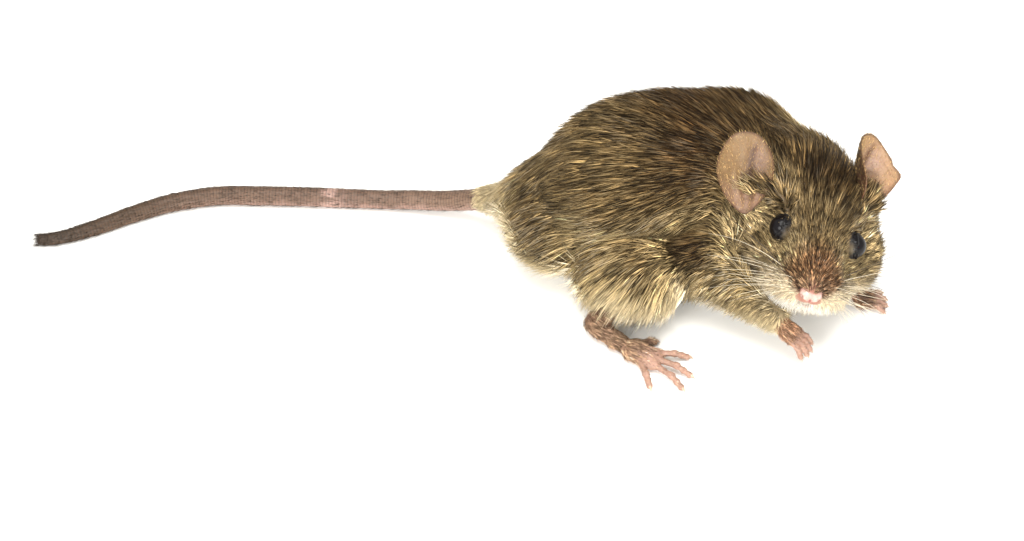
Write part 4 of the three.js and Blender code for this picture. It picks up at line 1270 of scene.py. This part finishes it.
def coat_tones(lock):
    """Each tuft's colours at root, middle and tip: the marking at its root, painted lighter where its lock
    rises and darker where it sinks, as light and shade on the locks; some hairs dark throughout, some with a
    dark tip and some with a gold or grey band at theirs, the grey bands partly painted sheen."""
    count = len(root)
    tone = coat_colour(root, root_normal)
    wrist = 1 - ramp(np.minimum(distance(root, WRIST_RIGHT), distance(root, WRIST_LEFT)), 3, 6)
    foot = mix(FOOT_HAIR, WRIST_HAIR, wrist)
    tone = np.where((root_kind == FOOT)[:, None], foot, tone)
    tone = np.where((root_kind == EAR)[:, None], EAR_HAIR, tone)
    tone = np.where(((root_kind == EAR) & (root_extra < 0.5))[:, None], BACK, tone)
    pale = ramp(tone.mean(1), 0.15, 0.42)
    luck = RNG.random(count)
    shade = np.where(luck < DARK_HAIRS, RNG.uniform(0.25, 0.55, count), RNG.uniform(0.65, 1.6, count))
    shade = shade * (1 + 0.15 * noise(root, 3.2, 32)) * (1 - pale) + pale * RNG.uniform(0.68, 1.18, count)
    # painted light and shade: tufts on a rising lock lighter, on a sinking one darker, and below more gold
    # and fewer dark tips where the lock rises
    shade *= np.exp((2.3 - 1.5 * pale) * lock)
    tip_luck = RNG.random(count) + 1.2 * lock
    gold = ramp(tip_luck, 0.45, 0.95) * RNG.uniform(0.35, 0.85, count) * (luck > DARK_HAIRS)
    gold *= 0.3 + 0.7 * ramp(tone.mean(1), 0.02, 0.12)
    dark = (1 - ramp(tip_luck, 0.05, 0.35)) * 0.8 * (1 - pale)
    body = tone * shade[:, None]
    # grey rather than gold tips: at random and by noise, and more on hair facing +Y, which is painted sheen
    # along the back's far edge
    grey = noise(root, 2.6, 33) + 0.5 * (luck - 0.5) + 0.45 * ramp(root_normal[:, 1], -0.2, 0.7)
    banded = mix(HAIR_GOLD, GREY_TIP_AND_SHEEN, ramp(grey, 0.1, 0.7))
    tips = mix(mix(body, banded, gold * (1 - 0.5 * pale)), HAIR_DARK, dark)
    return {"root": body * (0.28 + 0.5 * pale)[:, None], "tone": body, "tip": tips}


def add_coat():
    """The tufts as closed spikes of three sides: a ring of three points sunk in the skin, a wider ring at
    the middle and one point at the tip, each piece of the coat one joined mesh."""
    middle, tip, width, lock = coat_shapes()
    tones = coat_tones(lock)
    base = root - root_normal * ROOT_SUNK
    start, finish = unit(middle - base), unit(tip - middle)
    angle = np.radians([90, 210, 330])
    points = np.empty((len(root), 7, 3))
    rings = ((base, start, 0.35 * width), (middle, unit(start + finish), 0.5 * width))
    for ring, (centre, ahead, wide) in enumerate(rings):
        aside = unit(np.cross(root_normal, ahead))
        high = np.cross(ahead, aside)
        for j in range(3):
            offset = aside * np.cos(angle[j]) + high * (0.7 * np.sin(angle[j]))
            points[:, 3 * ring + j] = centre + offset * wide[:, None]
    points[:, 6] = tip
    sides = [[(j, k, 3 + k), (j, 3 + k, 3 + j), (3 + j, 3 + k, 6)] for j, k in ((0, 1), (1, 2), (2, 0))]
    pattern = np.vstack([[[0, 2, 1]], *np.swapaxes(sides, 0, 1)])
    along = np.array([0, 0, 0, MIDDLE_AT, MIDDLE_AT, MIDDLE_AT, 1.0])
    spot = np.stack([(0, 0.5, 1, 0, 0.5, 1, 0.5), along], axis=1) - 0.5
    for name, members in sorted_pieces():
        faces = (np.arange(len(members)) * 7)[:, None, None] + pattern
        piece = add_mesh(name, points[members].reshape(-1, 3), [faces.reshape(-1, 3)], COAT)
        for key, tone in tones.items():
            set_values(piece.data, key, np.repeat(tone[members], 7, axis=0))
        set_values(piece.data, "along", np.tile(along, len(members)))
        patch = root_uv[members][:, None] + spot * PATCH
        layer = piece.data.uv_layers.new(name="OFBake")
        layer.data.foreach_set("uv", patch[:, pattern.ravel()].astype(np.float32).ravel())


def sorted_pieces():
    """The tufts sorted from tail to nose and shared out evenly: a name and the members of each piece."""
    order = np.argsort(root[:, 0] - 0.5 * root[:, 1], kind="stable")
    number = int(np.ceil(len(root) / PIECE_TUFTS))
    return [(f"coat_{i + 1}", part) for i, part in enumerate(np.array_split(order, number))]


add_coat()


# ---- Eyes ----
def eye_mesh(side):
    """An eyeball: rings of sin a around the way that it looks, a little fuller in the middle of its front."""
    place = eye_frame(side)
    rows, columns = 40, 64
    a = np.linspace(0, np.pi, rows + 2)[1:-1]
    radius = EYE_RADIUS * (1 + 0.015 * np.exp(-((np.pi - a) ** 2) / 0.5))
    turn = turns(columns)
    x = np.repeat((-np.cos(a) * radius)[:, None], columns, 1)
    ring = (np.sin(a) * radius)[:, None]
    rings = np.stack([x, ring * np.cos(turn), ring * np.sin(turn)], -1)
    poles = [(-EYE_RADIUS, 0, 0), (EYE_RADIUS * 1.015, 0, 0)]
    quads, fans = ring_faces(rows, columns)
    return out_of(place, np.vstack([rings.reshape(-1, 3), poles])), quads, fans


for side, name in ((1, "left"), (-1, "right")):
    points, quads, fans = eye_mesh(side)
    eye = add_mesh(f"eyeball_{name}", points, [quads, fans], EYE)
    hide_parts(f"eye_{name}")


# ---- Claws ----
def claw_meshes(place, digits, size):
    """One claw for each digit: a tapering tube bent downwards, its root sunk in the toe's tip."""
    made = []
    for _, bend, tip in digits:
        ahead = unit(np.array(tip) - np.array(bend))
        t = np.linspace(0, 1, 9)[:, None]
        line = tip + ahead * (0.15 + 1.05 * t) * size + UP * (0.12 + 0.2 * t - 0.5 * t**2) * size
        points, quads, fans = tube(out_of(place, line), size * (0.26 * (1 - t[:, 0] ** 1.4) + 0.03), 10)
        points[:, 2] = np.maximum(points[:, 2], 0.03)
        made.append((points, quads, fans))
    return joined(made)


for name, (place, digits) in claws.items():
    points, quads, fans = claw_meshes(place, digits, CLAW_SIZES["hind" in name])
    name = name.replace("hind_foot", "claws_hind").replace("forepaw", "claws_fore")
    add_mesh(name, points, [quads, fans], CLAW)


# ---- Whiskers and bristles ----
def strands(starts, ways, lengths, droops, radii, steps, columns):
    """Many tapering hairs in one mesh: from its start each runs along its way and is drawn by its droop with
    the square of the length run; its radius falls evenly to a fifth at the tip."""
    t = np.linspace(0, 1, steps)[None, :, None]
    line = starts[:, None] + ways[:, None] * (t * lengths[:, None, None]) + droops[:, None] * t**2
    ahead = unit(np.gradient(line, axis=1))
    aside = unit(np.cross(np.broadcast_to((0.3, 0.2, 1.0), ahead.shape), ahead))
    high = np.cross(ahead, aside)
    turn = turns(columns)
    circle = aside[:, :, None] * np.cos(turn)[:, None] + high[:, :, None] * np.sin(turn)[:, None]
    rings = line[:, :, None] + circle * (radii[:, None, None, None] * (1 - 0.8 * t[..., None]))
    ends = np.stack([line[:, 0], line[:, -1] + ahead[:, -1] * radii[:, None]], axis=1)
    points = np.concatenate([rings.reshape(len(starts), -1, 3), ends], axis=1)
    quads, fans = ring_faces(steps, columns)
    shift = (np.arange(len(starts)) * points.shape[1])[:, None, None]
    return points.reshape(-1, 3), (quads + shift).reshape(-1, 4), (fans + shift).reshape(-1, 3)


def whiskers(side):
    """Rows of whiskers on one pad: long behind and short in front, swept back, the upper rows outwards and
    the lower ones downwards."""
    starts, ways, lengths, droops = [], [], [], []
    for row, column in np.ndindex(WHISKER_ROWS, WHISKER_COLUMNS):
        forward = 8.0 - 0.8 * column + 0.15 * row
        low = -2.8 - 0.55 * row - 0.1 * column
        starts.append((forward, side * (2.6 + 0.28 * column + 0.1 * row), low))
        fan = (row - 1.4) / 3.4
        way = np.array((0.3 - 0.17 * column, side * 0.95, 0.1 - 0.62 * fan))
        ways.append(unit(way + RNG.normal(0, 0.09, 3)))
        lengths.append((5.0 + 3.4 * column) * RNG.uniform(0.75, 1.25) * (1 - 0.05 * row))
        droops.append(np.array((-0.34, -0.1 * side, -0.5)) * lengths[-1] * RNG.uniform(0.3, 1.4))
    starts = out_of(HEAD, starts)
    for _ in range(4):
        here, way = slope(skin_field, starts)
        starts -= unit(way) * (here + 0.1)[:, None]
    return starts, turned(HEAD, ways), np.array(lengths), turned(HEAD, droops)


def add_strands(name, lines, radii, material, steps, columns):
    """One piece of many strands; lines holds their starts, ways, lengths and droops."""
    points, quads, fans = strands(*lines, radii, steps, columns)
    points[:, 2] = np.maximum(points[:, 2], FLOOR_GAP)
    add_mesh(name, points, [quads, fans], material)


for side, name in ((1, "left"), (-1, "right")):
    lines = whiskers(side)
    number = np.arange(len(lines[0]))
    dark = (number % 3 != 0) & (number < WHISKER_ROWS * WHISKER_COLUMNS / 2)
    for which, tone, material in ((~dark, "pale", PALE_HAIR), (dark, "dark", DARK_HAIR)):
        chosen_lines = [values[which] for values in lines]
        radii = 0.024 + 0.0011 * chosen_lines[2]
        add_strands(f"whiskers_{tone}_{name}", chosen_lines, radii, material, 12, 4)


def tail_bristles(count):
    """Short bristles behind the rings of scales, lying backwards along the tail and a little off it, more
    of them towards its tip."""
    line, radius, _ = tail_path(800)
    index = ((1 - 0.94 * RNG.uniform(0.0, 1.0, count) ** 1.3) * 798).astype(int)
    angle = RNG.uniform(0, 2 * np.pi, count)
    ahead = unit(np.gradient(line, axis=0))[index]
    aside = unit(np.cross(UP, ahead))
    high = np.cross(ahead, aside)
    out = aside * np.cos(angle)[:, None] + high * np.sin(angle)[:, None]
    starts = line[index] + out * (radius[index] - 0.03)[:, None]
    ways = unit(ahead + out * RNG.uniform(0.12, 0.4, count)[:, None] + 0.1 * RNG.standard_normal((count, 3)))
    lengths = RNG.uniform(0.6, 1.1, count)
    keep = starts[:, 2] > 0.25
    return starts[keep], ways[keep], lengths[keep], -out[keep] * 0.08


lines = tail_bristles(TAIL_BRISTLES)
add_strands("tail_bristles", lines, np.full(len(lines[0]), 0.028), DARK_HAIR, 3, 3)


# ---- Floor, light and camera ----
def add_floor():
    """A wide pale floor, very slightly mottled."""
    mesh = bpy.data.meshes.new("floor")
    corners = [(x * FLOOR_HALF, y * FLOOR_HALF, 0) for x, y in ((-1, -1), (1, -1), (1, 1), (-1, 1))]
    mesh.from_pydata(corners, [], [(0, 1, 2, 3)])
    pale = mottled("pale floor", (0.95, 0.945, 0.92), (0.93, 0.925, 0.9), 30, Roughness=0.9)
    mesh.materials.append(pale)
    floor = place_object("floor", mesh)


def add_light(name, place, size, power, colour):
    """A round soft light that looks at the model's middle."""
    light = bpy.data.lights.new(name, "AREA")
    light.shape = "DISK"
    light.size, light.energy, light.color = size, power, colour
    lamp = place_object(name, light)
    lamp.location = place
    x, y, z = np.array(LIGHTS_AIM) - np.array(place)
    lamp.rotation_euler = (float(np.arctan2(np.hypot(x, y), -z)), 0, float(np.arctan2(y, x) - np.pi / 2))


def add_camera():
    """The camera: above the model's right side, looking at the layout's origin."""
    camera = bpy.data.cameras.new("camera")
    camera.lens, camera.sensor_width = LENS, SENSOR
    camera.clip_start = 0.01
    view = place_object("camera", camera)
    elevation = np.radians(CAMERA_ELEVATION)
    back = np.array((0, -np.cos(elevation), np.sin(elevation)))
    view.location = SHIFT / 1000 + CAMERA_DISTANCE * back
    view.rotation_euler = (np.pi / 2 - elevation, 0, 0)
    bpy.context.scene.camera = view


add_floor()
for values in LIGHTS:
    add_light(*values)
add_camera()
world = bpy.data.worlds.new("room")
world.use_nodes = True
background = world.node_tree.nodes["Background"]
background.inputs["Color"].default_value = (1.0, 0.99, 0.97, 1)
background.inputs["Strength"].default_value = 0.95
bpy.context.scene.world = world
bpy.context.scene.view_settings.view_transform = "Standard"
